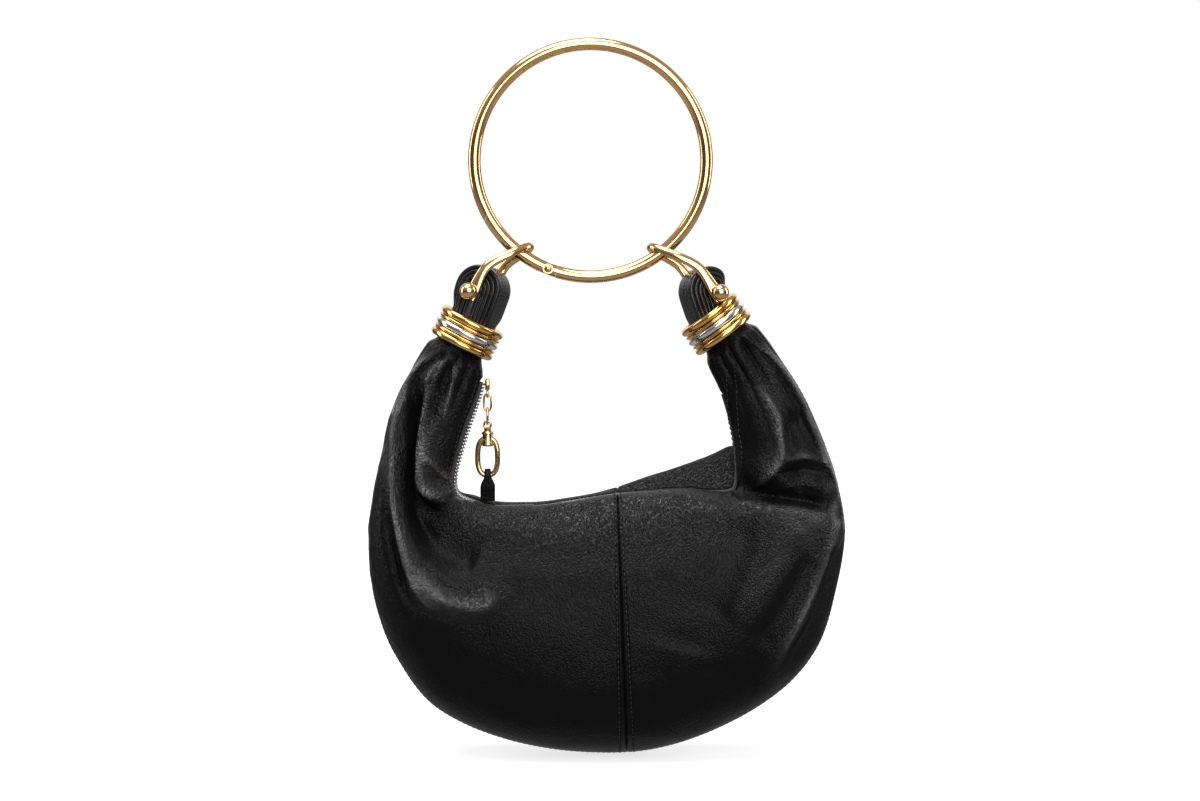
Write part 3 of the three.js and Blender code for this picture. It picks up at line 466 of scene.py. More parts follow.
pin_half = []
for angle in np.linspace(0, PIN_BALL_TURN, PIN_BALL_STEPS):
    pin_half.append((PIN_BALL / 2 * math.sin(angle), PIN_BALL_AT + PIN_BALL / 2 * math.cos(angle)))
collar_from = PIN_BALL_AT - PIN_COLLAR_FROM
collar_to = PIN_BALL_AT - PIN_COLLAR_TO
pin_half += [(PIN_COLLAR_RADIUS, collar_from), (PIN_COLLAR_RADIUS, collar_to), (PIN_DIAMETER / 2, collar_to)]
for neck in NECKS:
    shackle = tube("shackle_bar_" + neck["name"], shackle_loops(neck), pale_gold)
    bore_for_pin(shackle, neck, SHACKLE_BORE_REACH)
    finish_piece(shackle, "bag", "gold", "shackle_" + neck["name"])
    pin_name = "cross_pin_" + neck["name"]
    pin_at = mid_depth(neck["pin"])
    pin_turn = neck["side"] * PIN_YAW
    pin_piece = lathe_about_y(pin_name, mirrored(pin_half), pin_at, pale_gold, PIN_SIDES, pin_turn)
    smooth_by_angle(pin_piece, degrees=40)
    finish_piece(pin_piece, "bag", "gold", "shackle_pin_" + neck["name"])


# The stacks of rings round the necks: polished rings pushed down over the gathered leather.
# A thick yellow gold one at each end, a silver one in the middle, and a thin gold one between each two.
STACK_RING_OUTER = 40.4
THIN_RING_INSET = 0.8
THICK_WIRE = 4.7
THIN_WIRE = 1.9
STACK_STEP = 3.45
RING_METALS = ("gold", "gold_thin", "silver", "gold_thin", "gold")
MIDDLE_RING = 2
RING_STEPS = 120
RING_SIDES = 22
YELLOW_GOLD = (0.92, 0.56, 0.18, 1)
YELLOW_GOLD_ROUGHNESS = 0.13
SILVER = (0.88, 0.88, 0.88, 1)
SILVER_ROUGHNESS = 0.12


def new_tree(name, inputs):
    """A geometry tree with named inputs after its geometry: the tree, its inputs and its output."""
    tree = bpy.data.node_groups.new(name, "GeometryNodeTree")
    tree.interface.new_socket("Geometry", in_out="INPUT", socket_type="NodeSocketGeometry")
    for name, kind in inputs:
        tree.interface.new_socket(name, in_out="INPUT", socket_type="NodeSocket" + kind)
    tree.interface.new_socket("Geometry", in_out="OUTPUT", socket_type="NodeSocketGeometry")
    return tree, tree.nodes.new("NodeGroupInput").outputs, tree.nodes.new("NodeGroupOutput")


def end_tree(tree, geometry, material, output):
    """Ends a tree: every copy made real and given its material."""
    whole = add_node(tree, "GeometryNodeRealizeInstances", {"Geometry": geometry}).outputs["Geometry"]
    painted = add_node(tree, "GeometryNodeSetMaterial", {"Geometry": whole, "Material": material})
    feed(tree, output, {"Geometry": painted.outputs["Geometry"]})
    return tree


def run_tree(piece, tree, values):
    """Runs a geometry tree on a piece with named values, and keeps the plain mesh that it makes."""
    modifier = piece.modifiers.new("make", "NODES")
    modifier.node_group = tree
    for item in tree.interface.items_tree:
        if item.in_out == "INPUT" and item.name in values:
            modifier[item.identifier] = values[item.name]
    bake(piece)


def wire_ring_tree():
    """A ring of round wire about Z, turned and moved to its place."""
    tree, inputs, output = new_tree("wire_ring", [
        ("Middle Radius", "Float"), ("Wire Radius", "Float"), ("Place", "Vector"), ("Turn", "Vector"),
        ("Metal", "Material")])
    circles = []
    for radius, steps in (("Middle Radius", RING_STEPS), ("Wire Radius", RING_SIDES)):
        shape = {"Resolution": steps, "Radius": inputs[radius]}
        circles.append(add_node(tree, "GeometryNodeCurvePrimitiveCircle", shape).outputs["Curve"])
    sweep = add_node(tree, "GeometryNodeCurveToMesh", {"Curve": circles[0], "Profile Curve": circles[1]})
    move = add_node(tree, "GeometryNodeTransform", {
        "Geometry": sweep.outputs["Mesh"], "Translation": inputs["Place"], "Rotation": inputs["Turn"]})
    return end_tree(tree, move.outputs["Geometry"], inputs["Metal"], output)


def neck_lean(neck):
    return math.radians(-neck["side"] * neck["lean"])


yellow_gold = polished_metal("yellow_gold", YELLOW_GOLD, YELLOW_GOLD_ROUGHNESS)
bright_silver = polished_metal("bright_silver", SILVER, SILVER_ROUGHNESS)
ring_tree = wire_ring_tree()
for neck in NECKS:
    lean = neck_lean(neck)
    axis = np.array([math.sin(lean), 0, math.cos(lean)])
    for index, metal in enumerate(RING_METALS):
        wire = THIN_WIRE if metal == "gold_thin" else THICK_WIRE
        outer = STACK_RING_OUTER - (THIN_RING_INSET if metal == "gold_thin" else 0)
        middle = mid_depth(neck["stack"]) + axis * (MIDDLE_RING - index) * STACK_STEP
        ring_metal = bright_silver if metal == "silver" else yellow_gold
        node = f"neck_{neck['name']}_ring_{index + 1}"
        piece = mesh_object("stack_" + node, [(0, 0, 0)], [], ring_metal)
        run_tree(piece, ring_tree, {
            "Middle Radius": (outer - wire) / 2 * MM, "Wire Radius": wire / 2 * MM,
            "Place": tuple(middle * MM), "Turn": (0, lean, 0), "Metal": ring_metal})
        outward(piece)
        piece.data.shade_smooth()
        finish_piece(piece, "bag", "silver" if metal == "silver" else "yellow_gold", node)


# The leather loops: each neck's strip of leather, folded several times round the cross pin.
# The painted edges of the nested layers show from the front, and their ends go down inside the rings.
LOOP_WIDTH = 29
LOOP_DEPTH = 20
# The outer half width of each folded layer, and how far its edge stands proud.
LOOP_LAYERS = (14.5, 11.7, 9.1, 6.5, 3.9)
LOOP_LAYER_PROUD = (0.0, 0.5, 0.9, 0.5, 0.2)
LOOP_GROOVE = 1.2
LOOP_GROOVE_POWER = 4
LOOP_STITCH_ROWS = (-3.4, 0.4)
LOOP_NARROW = 12
LOOP_NARROW_HEIGHT = 17
LOOP_SOFTNESS = 8
LOOP_LAYER_STEPS = 10
LOOP_SKIN_STEPS = 12
LOOP_LEG_STEPS = 24
LOOP_ARCH_STEPS = 40
RING_HOLE = STACK_RING_OUTER / 2 - THICK_WIRE - GAP
RING_TOP = MIDDLE_RING * STACK_STEP + THICK_WIRE / 2 + GAP
BLACK_LEATHER_LIGHT = (0.006, 0.006, 0.0062, 1)
EDGE_PAINT = (0.005, 0.005, 0.0054, 1)
BURNISHED_SHINE = 1.0
STRETCHED_GRAIN = 0.35
LOOSE_CREST = 0.1
LEATHER_TONE_SCALE = 45
LEATHER_DULLER = 0.06
LEATHER_GLOSSIER = 0.05
PEBBLE_WARP = 0.0014
PEBBLE_WARP_SCALE = 0.35
PEBBLE_SOFTNESS = 0.25
PEBBLE_EDGE = 0.75
LEATHER_WAVE_SCALE = 0.3
LEATHER_WAVE_STRENGTH = 0.4


def grained_leather(name, dark, roughness, shine, pebble, pebble_depth):
    """Dyed leather with a fine pebbled grain and a slow change of tone, burnished on the crests of folds."""
    material, tree, shader, place = new_material(name)
    crest = add_node(tree, "ShaderNodeAttribute", {}, attribute_name="crest").outputs["Fac"]
    ripple = add_node(tree, "ShaderNodeTexNoise", {"Vector": place, "Scale": pebble * PEBBLE_WARP_SCALE})
    warp_inputs = {0: ripple.outputs["Color"], 1: (PEBBLE_WARP, PEBBLE_WARP, PEBBLE_WARP), 2: place}
    warp = add_node(tree, "ShaderNodeVectorMath", warp_inputs, operation="MULTIPLY_ADD")
    cell_inputs = {"Vector": warp.outputs["Vector"], "Scale": pebble, "Smoothness": PEBBLE_SOFTNESS}
    cells = add_node(tree, "ShaderNodeTexVoronoi", cell_inputs, feature="SMOOTH_F1")
    dome = map_range(tree, cells.outputs["Distance"], 0, PEBBLE_EDGE, 1, 0)
    tone = noise_field(tree, place, LEATHER_TONE_SCALE, detail=4)
    waves = noise_field(tree, place, pebble * LEATHER_WAVE_SCALE, detail=3)
    loose = map_range(tree, crest, 0, LOOSE_CREST, STRETCHED_GRAIN, 1)
    grain = bump(tree, dome, pebble_depth, loose)
    feed(tree, grain.node, {"Normal": bump(tree, waves, pebble_depth, LEATHER_WAVE_STRENGTH)})
    feed(tree, shader, {
        "Base Color": colour_between(tree, tone, dark, BLACK_LEATHER_LIGHT),
        "Roughness": spread(tree, tone, roughness - LEATHER_GLOSSIER, roughness + LEATHER_DULLER),
        "Specular IOR Level": map_range(tree, crest, 0, 1, shine, BURNISHED_SHINE),
        "Normal": grain})
    return material


def loop_profile():
    """Half widths and depths round one side of a loop: its back edges, its outer skin and its front edges."""
    front = [(0.0, LOOP_DEPTH / 2)]
    for outer, inner, proud in reversed(list(zip(LOOP_LAYERS, LOOP_LAYERS[1:] + (0.0,), LOOP_LAYER_PROUD))):
        for step in np.linspace(-1, 1, LOOP_LAYER_STEPS)[1:]:
            radius = (outer + inner) / 2 + step * (outer - inner) / 2
            front.append((radius, LOOP_DEPTH / 2 + proud - LOOP_GROOVE * abs(step) ** LOOP_GROOVE_POWER))
    last = front[-1][1]
    skin = [(LOOP_WIDTH / 2, y) for y in np.linspace(last, -last, LOOP_SKIN_STEPS)[1:-1]]
    return np.array(front + skin + [(radius, -y) for radius, y in reversed(front)])


def loop_placer(neck):
    """Two functions of a neck's loop: one that places its points, and one for the height where they end."""
    turn = Matrix.Rotation(-neck["side"] * math.radians(neck["loop_lean"]), 3, "Y")
    turn = np.array(turn @ Matrix.Rotation(neck["side"] * PIN_YAW, 3, "Z"))
    pin = mid_depth(neck["pin"])
    stack = mid_depth(neck["stack"])
    lean = neck_lean(neck)
    up = np.array([math.sin(lean), 0, math.cos(lean)])
    sideways = np.array([math.cos(lean), 0, -math.sin(lean)])
    climb = up @ turn

    def place(points):
        local = points @ turn.T + pin - stack
        height = local @ up
        x, y = local @ sideways, local[:, 1]
        limit = RING_HOLE + LOOP_NARROW * smooth_step((height - RING_TOP) / LOOP_NARROW_HEIGHT)
        excess = np.hypot(x, y) / limit
        squeeze = (1 + excess**LOOP_SOFTNESS) ** (-1 / LOOP_SOFTNESS)
        placed = stack + np.outer(x * squeeze, sideways) + np.outer(height, up)
        placed[:, 1] = y * squeeze
        return placed

    def leg_end(x, y):
        return (GAP - (pin - stack) @ up - climb[0] * x - climb[1] * y) / climb[2]

    return place, leg_end


def loop_rows(radius, y, leg_end):
    """Rows of local points up one leg of a loop, round its arch and down the other leg."""
    shares = np.linspace(0, 1, LOOP_LEG_STEPS)[:-1, None]
    angles = np.linspace(0, math.pi, LOOP_ARCH_STEPS)[:, None]
    legs = []
    for side, part in ((1, shares), (-1, shares[::-1])):
        x = side * radius + 0 * part
        legs.append(np.stack([x, y + 0 * part, leg_end(side * radius, y) * (1 - part)], axis=-1))
    arch = np.stack([radius * np.cos(angles), y + 0 * angles, radius * np.sin(angles)], axis=-1)
    return np.concatenate([legs[0], arch, legs[1]])


def build_loop(neck):
    """The folded loop of a neck. Returns its two rows of stitching as points and up directions."""
    place, leg_end = loop_placer(neck)
    profile = loop_profile()
    rows = loop_rows(profile[:, 0], profile[:, 1], leg_end)
    count, across = rows.shape[:2]
    faces = grid_faces(count, across)
    faces += [tuple(range(across)), tuple(range((count - 1) * across, count * across))]
    piece = weld(mesh_object("folded_loop_" + neck["name"], place(rows.reshape(-1, 3)), faces, edge_paint))
    bore_for_pin(piece, neck, LOOP_DEPTH)
    finish_piece(piece, "bag", "leather_edge", "loop_" + neck["name"])
    threads = []
    for y in LOOP_STITCH_ROWS:
        skin = loop_rows(np.array([LOOP_WIDTH / 2]), np.array([y]), leg_end)[:, 0]
        above = loop_rows(np.array([LOOP_WIDTH / 2 + 1]), np.array([y]), leg_end)[:, 0]
        points = place(skin)
        ups = place(above) - points
        threads.append((points, ups / np.linalg.norm(ups, axis=1, keepdims=True)))
    return threads


edge_paint = grained_leather(
    "edge_paint", EDGE_PAINT, roughness=0.3, shine=0.5, pebble=1500, pebble_depth=0.0001)
loop_threads = build_loop(NECKS[0]) + build_loop(NECKS[1])


# The pouch: soft black leather in four panels, sewn at the middle and round the outside, seams turned in.
# It hangs from its two necks, so the leather sags into pleats on the left and folds under the right neck.
BLACK_LEATHER = (0.0038, 0.0038, 0.004, 1)
LEATHER = 1.8
FRONT = -1
BACK = 1
BELLY_FULLNESS = 0.22
VALLEY_HALF_WIDTH = 9
LIFT_FROM = 5.5
LIFT_START = 4.5
LIFT_FADE = 1.5
SEAM_HALF_GAP = 0.01
NORMAL_STEP = 0.5
NORMAL_TURN = 0.01
RING_COVER = 12
GATHER_COUNT = 15
GATHER_RISE = 2.2
GATHER_WANDER = 0.25
GATHER_REACH = 30
GATHER_START = 6
FOLD_START = 12
FOLD_STEPS = 14
FOLD_POWER = 2
FOLD_END_FADE = 0.16
FOLD_END_SHARE = 0.25
FOLD_EDGE_FADE = 0.5
CREASE_STEPS = 30
CREASE_POWER = 1.35
CREASE_EDGE_FADE = 0.28
CREST_CREASE = 2.6
CREST_FOLD = 17.0
CREST_SHOULDER = 0.32
SHOULDER_START = 60
SHOULDER_ANGLE = 0.5
SHOULDER_SPREAD = 0.45
# Each slow dent of slack leather: its rise, its size and its seed.
DENTS = ((1.3, 46, 3.1), (0.5, 19, 7.7))
# The sections where the necks bend into the pouch, and the ridges of leather pressed together there.
BEND_SECTIONS = (7, 17)
BEND_REACH = 45
RIDGE_RISE = 0.5
RIDGE_SIZE = 15
RIDGE_SEED = 11.3
RIDGE_SHARPNESS = 2.2
# The loose pleats that run down from the rings: how many round the neck, and how slowly they change along it.
PLEAT_RISE = 2.2
PLEATS_ROUND = 3.4
PLEATS_ALONG = 0.018
PLEAT_SEED = 2.2
PLEAT_SIDE_SEED = 5.0
PLEAT_REACH = 48
ZIP_HALF_WIDTH = 5.5
ZIP_START = 21
ZIP_END = 34
ZIP_TAPER = 7
GRID_STEP = {FRONT: 1.3, BACK: 1.7}
GIRTH_ROWS = {FRONT: 165, BACK: 130}
EDGE_STEPS = (0.12, 0.35, 0.7, 1.1)
EDGE_STEPS_GIRTH = 190
EDGE_ROUND = 1.0
EDGE_FALL = 0.9
SEAM_STEPS = (0.12, 0.3, 0.55, 0.9, 1.3, 1.8, 2.2, 2.5, 2.7, 2.9, 3.1, 3.3, 3.6, 4.0, 4.6)
SEAM_DIP = 1.3
SEAM_DIP_WIDTH = 0.9
SEAM_ROW_OFFSET = 2.9
SEAM_ROW_GROOVE = 0.7
SEAM_ROW_WIDTH = 0.6
SEAM_ROUND = 0.55
SEAM_TAPE_HALF = 7
SEAM_TAPE_BELOW = 3.4
SEAM_TAPE_THICK = 0.6
SEAM_TAPE_STEPS = 120
SEAM_TAPE_END = 0.01
HEM_TAPE_HALF = 4
HEM_TAPE_BELOW = 2.3
HEM_TAPE_STEPS = 320
TAPE_COLUMNS = 9
# Each section: rim x, rim z, hem x, hem z, front depth, back depth, sink of the zip,
# lift of the back shoulder, and the turn that brings the zip forward, in degrees.
BODY_SECTIONS = [
    (-64.5, -201.6, -110.7, -197.0, 18, 18, 0.5, 0, 4),
    (-71.5, -225.0, -122.1, -229.0, 21, 21, 0.5, 0, 17),
    (-78.3, -250.8, -130.2, -267.0, 26, 26, 1, 0, 20),
    (-77.1, -262.2, -132.9, -297.0, 30, 30, 3, 0, 13),
    (-66.3, -264.0, -130.2, -328.0, 35, 34, 8, 0, 5),
    (-51.3, -265.8, -118.5, -361.0, 40, 39, 11, 0, 0),
    (-30.3, -264.6, -92.0, -395.0, 44, 43, 11, 0, 0),
    (-6.3, -261.6, -40.0, -416.4, 46, 45, 9, 0, 0),
    (15.9, -258.6, 21.9, -421.5, 46, 46, 8, 3, 0),
    (35.7, -257.0, 68.5, -410.5, 45, 46, 8, 9, 0),
    (53.7, -256.2, 112.0, -386.0, 43, 44, 8, 15, 0),
    (68.7, -258.0, 136.5, -358.0, 40, 40, 8, 25, 0),
    (79.2, -259.4, 148.5, -320.0, 35, 35, 6, 34, 0),
    (83.0, -257.6, 153.0, -288.0, 30, 31, 4, 32, 0),
    (83.6, -243.8, 147.5, -256.0, 26, 27, 3, 16, 0),
    (81.4, -223.8, 132.0, -214.6, 21, 21, 2, 1, 0),
    (75.8, -201.8, 113.9, -184.0, 18, 18, 1, 0, 0),
]
SEAM_SECTION = 8
# Each neck section: how far below the middle of the stack, half width, half depth.
NECK_SECTIONS = [(0.4, 14.2, 13.8), (7, 14.3, 13.9), (10.8, 15.2, 14.8), (16, 18.6, 17)]
# Each fold: side, rise, spread to the left, spread to the right, and a path of points (x, z).
FOLDS = [
    (FRONT, 5.5, 6, 4.5, [(-92, -180), (-115, -219), (-117, -262), (-101, -317)]),
    (FRONT, -7, 6, 5, [(-97, -202), (-107, -236), (-106, -264), (-93, -296)]),
    (FRONT, 5.5, 9, 9, [(-103.5, -307.8), (-88, -325), (-70, -329), (-54.3, -321)]),
    (FRONT, -7, 13, 9, [(-98, -266), (-92, -283), (-83, -295), (-66, -302)]),
    (FRONT, 4.5, 11, 5, [(-86, -198), (-99.5, -232), (-99, -258), (-76, -267)]),
    (FRONT, -2.5, 9, 9, [(-34, -275), (-25, -273), (-12, -274), (2, -280)]),
    (FRONT, -6, 7, 6, [(84, -259), (100, -262.5), (122, -265.5), (141, -268.8)]),
    (FRONT, 4, 7, 12, [(80, -270), (100, -273), (122, -276), (142, -282)]),
    (FRONT, 3.5, 8, 9, [(96, -196), (109, -217.8), (115.5, -238.2), (102, -255)]),
    (FRONT, -5, 9, 8, [(118, -214), (125, -234), (127, -247), (118, -257)]),
    (FRONT, 2.6, 7, 6, [(100, -182), (122.7, -202.2), (140, -245), (145, -270)]),
    (FRONT, 3.5, 12, 7, [(144, -276), (139, -300), (126, -330), (108, -362)]),
    (FRONT, -4, 7, 7, [(148, -292), (142, -315), (131, -342), (117, -364)]),
    (FRONT, -3, 17, 17, [(76, -272), (70, -300), (62, -330), (55, -356)]),
    (FRONT, 2.0, 13, 10, [(72, -268), (66, -300), (55, -352)]),
    (FRONT, -2.0, 9, 12, [(93, -272), (85, -302), (72, -336)]),
    (FRONT, 2.2, 12, 12, [(128, -282), (106, -306), (84, -340)]),
    (FRONT, -2.0, 9, 10, [(134, -300), (118, -326), (98, -352)]),
    (BACK, 4, 8, 9, [(-96, -196), (-112, -236), (-112, -280), (-92, -330)]),
    (BACK, -5, 12, 12, [(-84, -214), (-95, -250), (-92, -282), (-70, -312)]),
    (BACK, 4, 9, 8, [(98, -192), (120, -224), (130, -262), (118, -322)]),
    (BACK, -5, 12, 12, [(92, -214), (106, -246), (104, -276), (84, -308)]),
    (BACK, -2.5, 18, 18, [(-26, -284), (-30, -310), (-38, -340), (-48, -366)]),
]
# Finer creases with a sharp crest, in the same columns.
CREASES = [
    (FRONT, -6.5, 2.0, 3.4, [(-95.5, -177), (-104.6, -189.6), (-111.4, -203.4), (-116, -219),
                             (-118.6, -242.4), (-118.6, -267.6), (-115.5, -292.8), (-109.5, -318),
                             (-105, -332)]),
    (FRONT, 5.4, 3.2, 1.4, [(-88.7, -174.6), (-101.6, -190), (-108.6, -203.4), (-113.2, -219),
                            (-115.4, -242.4), (-115, -267.6), (-111.6, -292.8), (-104, -316.2), (-93, -330)]),
    (FRONT, 3.2, 1.6, 2.6, [(-105.3, -204.6), (-111.3, -218.4), (-113.6, -236.4), (-112.5, -271.2),
                            (-108.5, -291), (-102.5, -307.8), (-88.5, -319.2)]),
    (FRONT, 5.0, 3.6, 1.4, [(-82.3, -177.9), (-92, -188), (-97.5, -200), (-100.5, -213), (-101.8, -228),
                            (-102.3, -246.6), (-101.7, -258.6), (-93.3, -266.4), (-82.5, -268.2)]),
    (FRONT, -5.4, 1.8, 2.2, [(-85.5, -177), (-95, -187), (-101.5, -197), (-105, -211), (-106, -228),
                             (-106, -247), (-104.8, -262), (-95, -271), (-84, -273)]),
    (FRONT, 3.4, 1.8, 1.8, [(-78.9, -181), (-81.3, -191.7), (-84, -206), (-88, -222)]),
    (FRONT, -3.4, 2.2, 2.2, [(-81.5, -182), (-87, -194), (-92, -208), (-95, -222)]),
    (FRONT, 2.2, 5, 3.0, [(-104.1, -313.2), (-90.3, -322.8), (-75.3, -327.6), (-61.5, -328.8),
                          (-54.3, -319.2)]),
    (FRONT, 2.2, 2.2, 4, [(-99, -240), (-91, -248), (-84, -256), (-79, -261)]),
    (FRONT, -1.8, 2.5, 2.5, [(-100, -245), (-92, -253), (-86, -260), (-81, -264)]),
    (FRONT, -3.0, 2.5, 3, [(83, -260), (100.5, -263.4), (123, -265.8), (142, -269)]),
    (FRONT, 2.2, 3, 5, [(87, -266), (100.5, -268.5), (122, -271), (141, -275)]),
    (FRONT, 3.4, 1.8, 4.0, [(103, -202), (108, -210), (112.5, -218), (113.5, -230), (114.5, -240),
                            (111, -249), (103, -255.5), (92, -260)]),
    (FRONT, -2.4, 4, 2.0, [(116.5, -212), (118.5, -222), (118.8, -232), (117.5, -242)]),
    (FRONT, 2.2, 5, 1.6, [(116.5, -243.6), (123.9, -241.2), (132.7, -241.5), (140.2, -246.8),
                          (143.9, -254.3)]),
    (FRONT, -3.2, 3.0, 4.0, [(110, -254), (119, -249.5), (130, -248.5), (139, -253), (143, -261)]),
    (FRONT, 1.4, 1.6, 1.6, [(112.5, -259.8), (122.7, -256.2), (132.7, -256.8), (138.9, -261.6)]),
    (FRONT, 2.4, 1.4, 2.0, [(89.7, -168), (104, -179.4), (112.5, -190), (123.3, -205), (129.5, -216.6),
                            (137.3, -234), (143.2, -253), (146.1, -266.4)]),
    (FRONT, -2.8, 1.6, 1.6, [(93, -167), (107, -178), (116, -189), (126.6, -203.5), (133, -215.4),
                             (140.6, -233), (146.4, -252), (149, -266)]),
    (FRONT, 2.4, 1.4, 3, [(146.1, -266.4), (144.9, -273.6), (141.9, -293.4), (135.3, -313.2), (120.3, -343.2),
                          (110.1, -361.8)]),
    (FRONT, -2.6, 1.8, 1.8, [(149, -266), (148.3, -275), (145.4, -295), (138.7, -315.5), (124, -345),
                             (113, -364)]),
    (FRONT, -2.0, 1.6, 3.0, [(87, -169), (101, -180.5), (109.5, -191), (120.3, -206), (126.5, -217.6),
                             (134, -235), (139.5, -253)]),
    (FRONT, -1.3, 1.2, 1.2, [(83.9, -189), (86.1, -225.6), (87.9, -241.8), (82.7, -259.2)]),
    (FRONT, -1.5, 9, 9, [(-31, -262), (-27, -268), (-20, -276), (-12, -284)]),
    (FRONT, 1.2, 8, 8, [(-16, -262), (-11, -270), (-4, -281)]),
    (BACK, 1.5, 4, 3, [(-94, -182), (-108, -208), (-114, -240), (-113, -280), (-98, -322)]),
    (BACK, 1.4, 3, 4, [(96, -180), (114, -206), (126, -238), (130, -266), (122, -310)]),
    (BACK, -1.4, 4, 4, [(-80, -262), (-92, -268), (-106, -274), (-120, -282)]),
    (BACK, -1.4, 4, 4, [(88, -262), (104, -266), (122, -270), (140, -276)]),
]


def neck_section(neck, row):
    below, half, depth = row
    lean = neck_lean(neck)
    axis = np.array([math.sin(lean), math.cos(lean)])
    middle = np.array(neck["stack"]) - axis * below
    out = neck["side"] * np.array([axis[1], -axis[0]])
    return (*(middle - out * half), *(middle + out * half), depth, depth, 0, 0, 0)


SECTIONS = np.array(
    [neck_section(NECKS[0], row) for row in NECK_SECTIONS]
    + BODY_SECTIONS
    + [neck_section(NECKS[1], row) for row in reversed(NECK_SECTIONS)])
RIM_X, RIM_Z, HEM_X, HEM_Z, FRONT_DEPTH, BACK_DEPTH, SINK, LIFT, TWIST = range(9)
halfway = (SECTIONS[:, RIM_X:HEM_X] + SECTIONS[:, HEM_X:FRONT_DEPTH]) / 2
STATIONS = np.concatenate([[0], np.cumsum(np.linalg.norm(np.diff(halfway, axis=0), axis=1))])
BAG_LENGTH = STATIONS[-1]
SEAM_STATION = STATIONS[len(NECK_SECTIONS) + SEAM_SECTION]
before = np.maximum(np.arange(len(STATIONS)) - 1, 0)
after = np.minimum(np.arange(len(STATIONS)) + 1, len(STATIONS) - 1)
SLOPES = (SECTIONS[after] - SECTIONS[before]) / (STATIONS[after] - STATIONS[before])[:, None]


def along(station, column):
    """A smooth value along the bag, through the value that each section gives."""
    i = np.clip(np.searchsorted(STATIONS, station, side="right") - 1, 0, len(STATIONS) - 2)
    span = STATIONS[i + 1] - STATIONS[i]
    start, start_slope, end, end_slope = cubic_weights((station - STATIONS[i]) / span)
    level = start * SECTIONS[i, column] + end * SECTIONS[i + 1, column]
    return level + span * (start_slope * SLOPES[i, column] + end_slope * SLOPES[i + 1, column])


def depth_at(station, side):
    return along(station, FRONT_DEPTH if side == FRONT else BACK_DEPTH)


def rim_and_hem(station):
    """Points (x, z) of the zip's line and of the outer seam."""
    rim = np.stack([along(station, RIM_X), along(station, RIM_Z)], axis=-1)
    hem = np.stack([along(station, HEM_X), along(station, HEM_Z)], axis=-1)
    return rim, hem


def plain_skin(station, angle, side):
    """The skin without its folds. The angle is 0 at the zip and pi at the outer seam."""
    rim, hem = rim_and_hem(station)
    length = np.linalg.norm(hem - rim, axis=-1)
    y = depth_at(station, side) * np.sin(angle) * (1 - BELLY_FULLNESS * np.cos(angle))
    near_zip = np.where(angle < math.pi / 2, np.exp(-((y / VALLEY_HALF_WIDTH) ** 2)), 0)
    down = (1 - np.cos(angle)) / 2 + along(station, SINK) * near_zip / length
    past_zip = np.maximum(y - LIFT_FROM, 0)
    lift_share = (1 - np.exp(-((past_zip / LIFT_START) ** 2))) * np.maximum(np.cos(angle), 0) ** LIFT_FADE
    lift = along(station, LIFT) * lift_share if side == BACK else 0
    point = rim + (hem - rim) * down[..., None]
    return np.stack([point[..., 0], side * y, point[..., 1] + lift], axis=-1)


def plain_normal(station, angle, side):
    low = np.maximum(station - NORMAL_STEP, 0)
    high = np.minimum(station + NORMAL_STEP, BAG_LENGTH)
    lengthwise = plain_skin(high, angle, side) - plain_skin(low, angle, side)
    further = plain_skin(station, angle + NORMAL_TURN, side)
    round_section = further - plain_skin(station, angle - NORMAL_TURN, side)
    normal = np.cross(round_section, lengthwise) * (1 if side == FRONT else -1)
    return normal / np.linalg.norm(normal, axis=-1, keepdims=True)


def fold_path(points, steps):
    """A smooth path through the points of a fold, cut into even steps of its parameter."""
    points = np.asarray(points, float)
    last = len(points) - 1
    path = []
    for share in np.linspace(0, last, steps + 1):
        i = min(int(share), last - 1)
        t = share - i
        p0, p1, p2, p3 = points[max(i - 1, 0)], points[i], points[i + 1], points[min(i + 2, last)]
        v0, v1 = (p2 - p0) / 2, (p3 - p1) / 2
        bend = 2 * p1 - 2 * p2 + v0 + v1
        sweep = -3 * p1 + 3 * p2 - 2 * v0 - v1
        path.append(bend * t**3 + sweep * t**2 + v0 * t + p1)
    return np.array(path)


def fold_rise(points, side, folds, steps, power):
    """How far the folds of a table push the skin out."""
    flat = points[..., [0, 2]]
    total = np.zeros(flat.shape[:-1])
    for fold_side, rise, left, right, path in folds:
        if fold_side != side:
            continue
        path = fold_path(path, steps)
        best = np.full(total.shape, np.inf)
        spread_here = np.ones(total.shape)
        share_here = np.zeros(total.shape)
        for i, (a, b) in enumerate(zip(path, path[1:])):
            step = b - a
            offset = flat - a
            t = np.clip(offset @ step / step.dot(step), 0, 1)
            away = offset - t[..., None] * step
            distance = np.linalg.norm(away, axis=-1)
            nearer = distance < best
            on_left = step[0] * away[..., 1] - step[1] * away[..., 0] > 0
            best = np.where(nearer, distance, best)
            spread_here = np.where(nearer, np.where(on_left, left, right), spread_here)
            share_here = np.where(nearer, (i + t) / steps, share_here)
        fade = smooth_step(share_here / FOLD_END_FADE) * smooth_step((1 - share_here) / FOLD_END_FADE)
        strength = rise * (FOLD_END_SHARE + (1 - FOLD_END_SHARE) * fade)
        total += strength * np.exp(-((best / spread_here) ** power))
    return total


def leather_noise(points, size, seed):
    """A smooth random height over points in millimetres, about -1 to 1."""
    flat = points.reshape(-1, 3) / size + seed
    return np.array([noise.noise(Vector(point)) for point in flat]).reshape(points.shape[:-1])


def past_rings(station):
    """How far a station is from the nearer stack of rings."""
    return np.minimum(station, BAG_LENGTH - station) - RING_COVER


def inside_edges(angle, fade):
    """1 over most of a panel, fading to 0 at the zip and at the outer seam."""
    return smooth_step(angle / fade) * smooth_step((math.pi - angle) / fade)


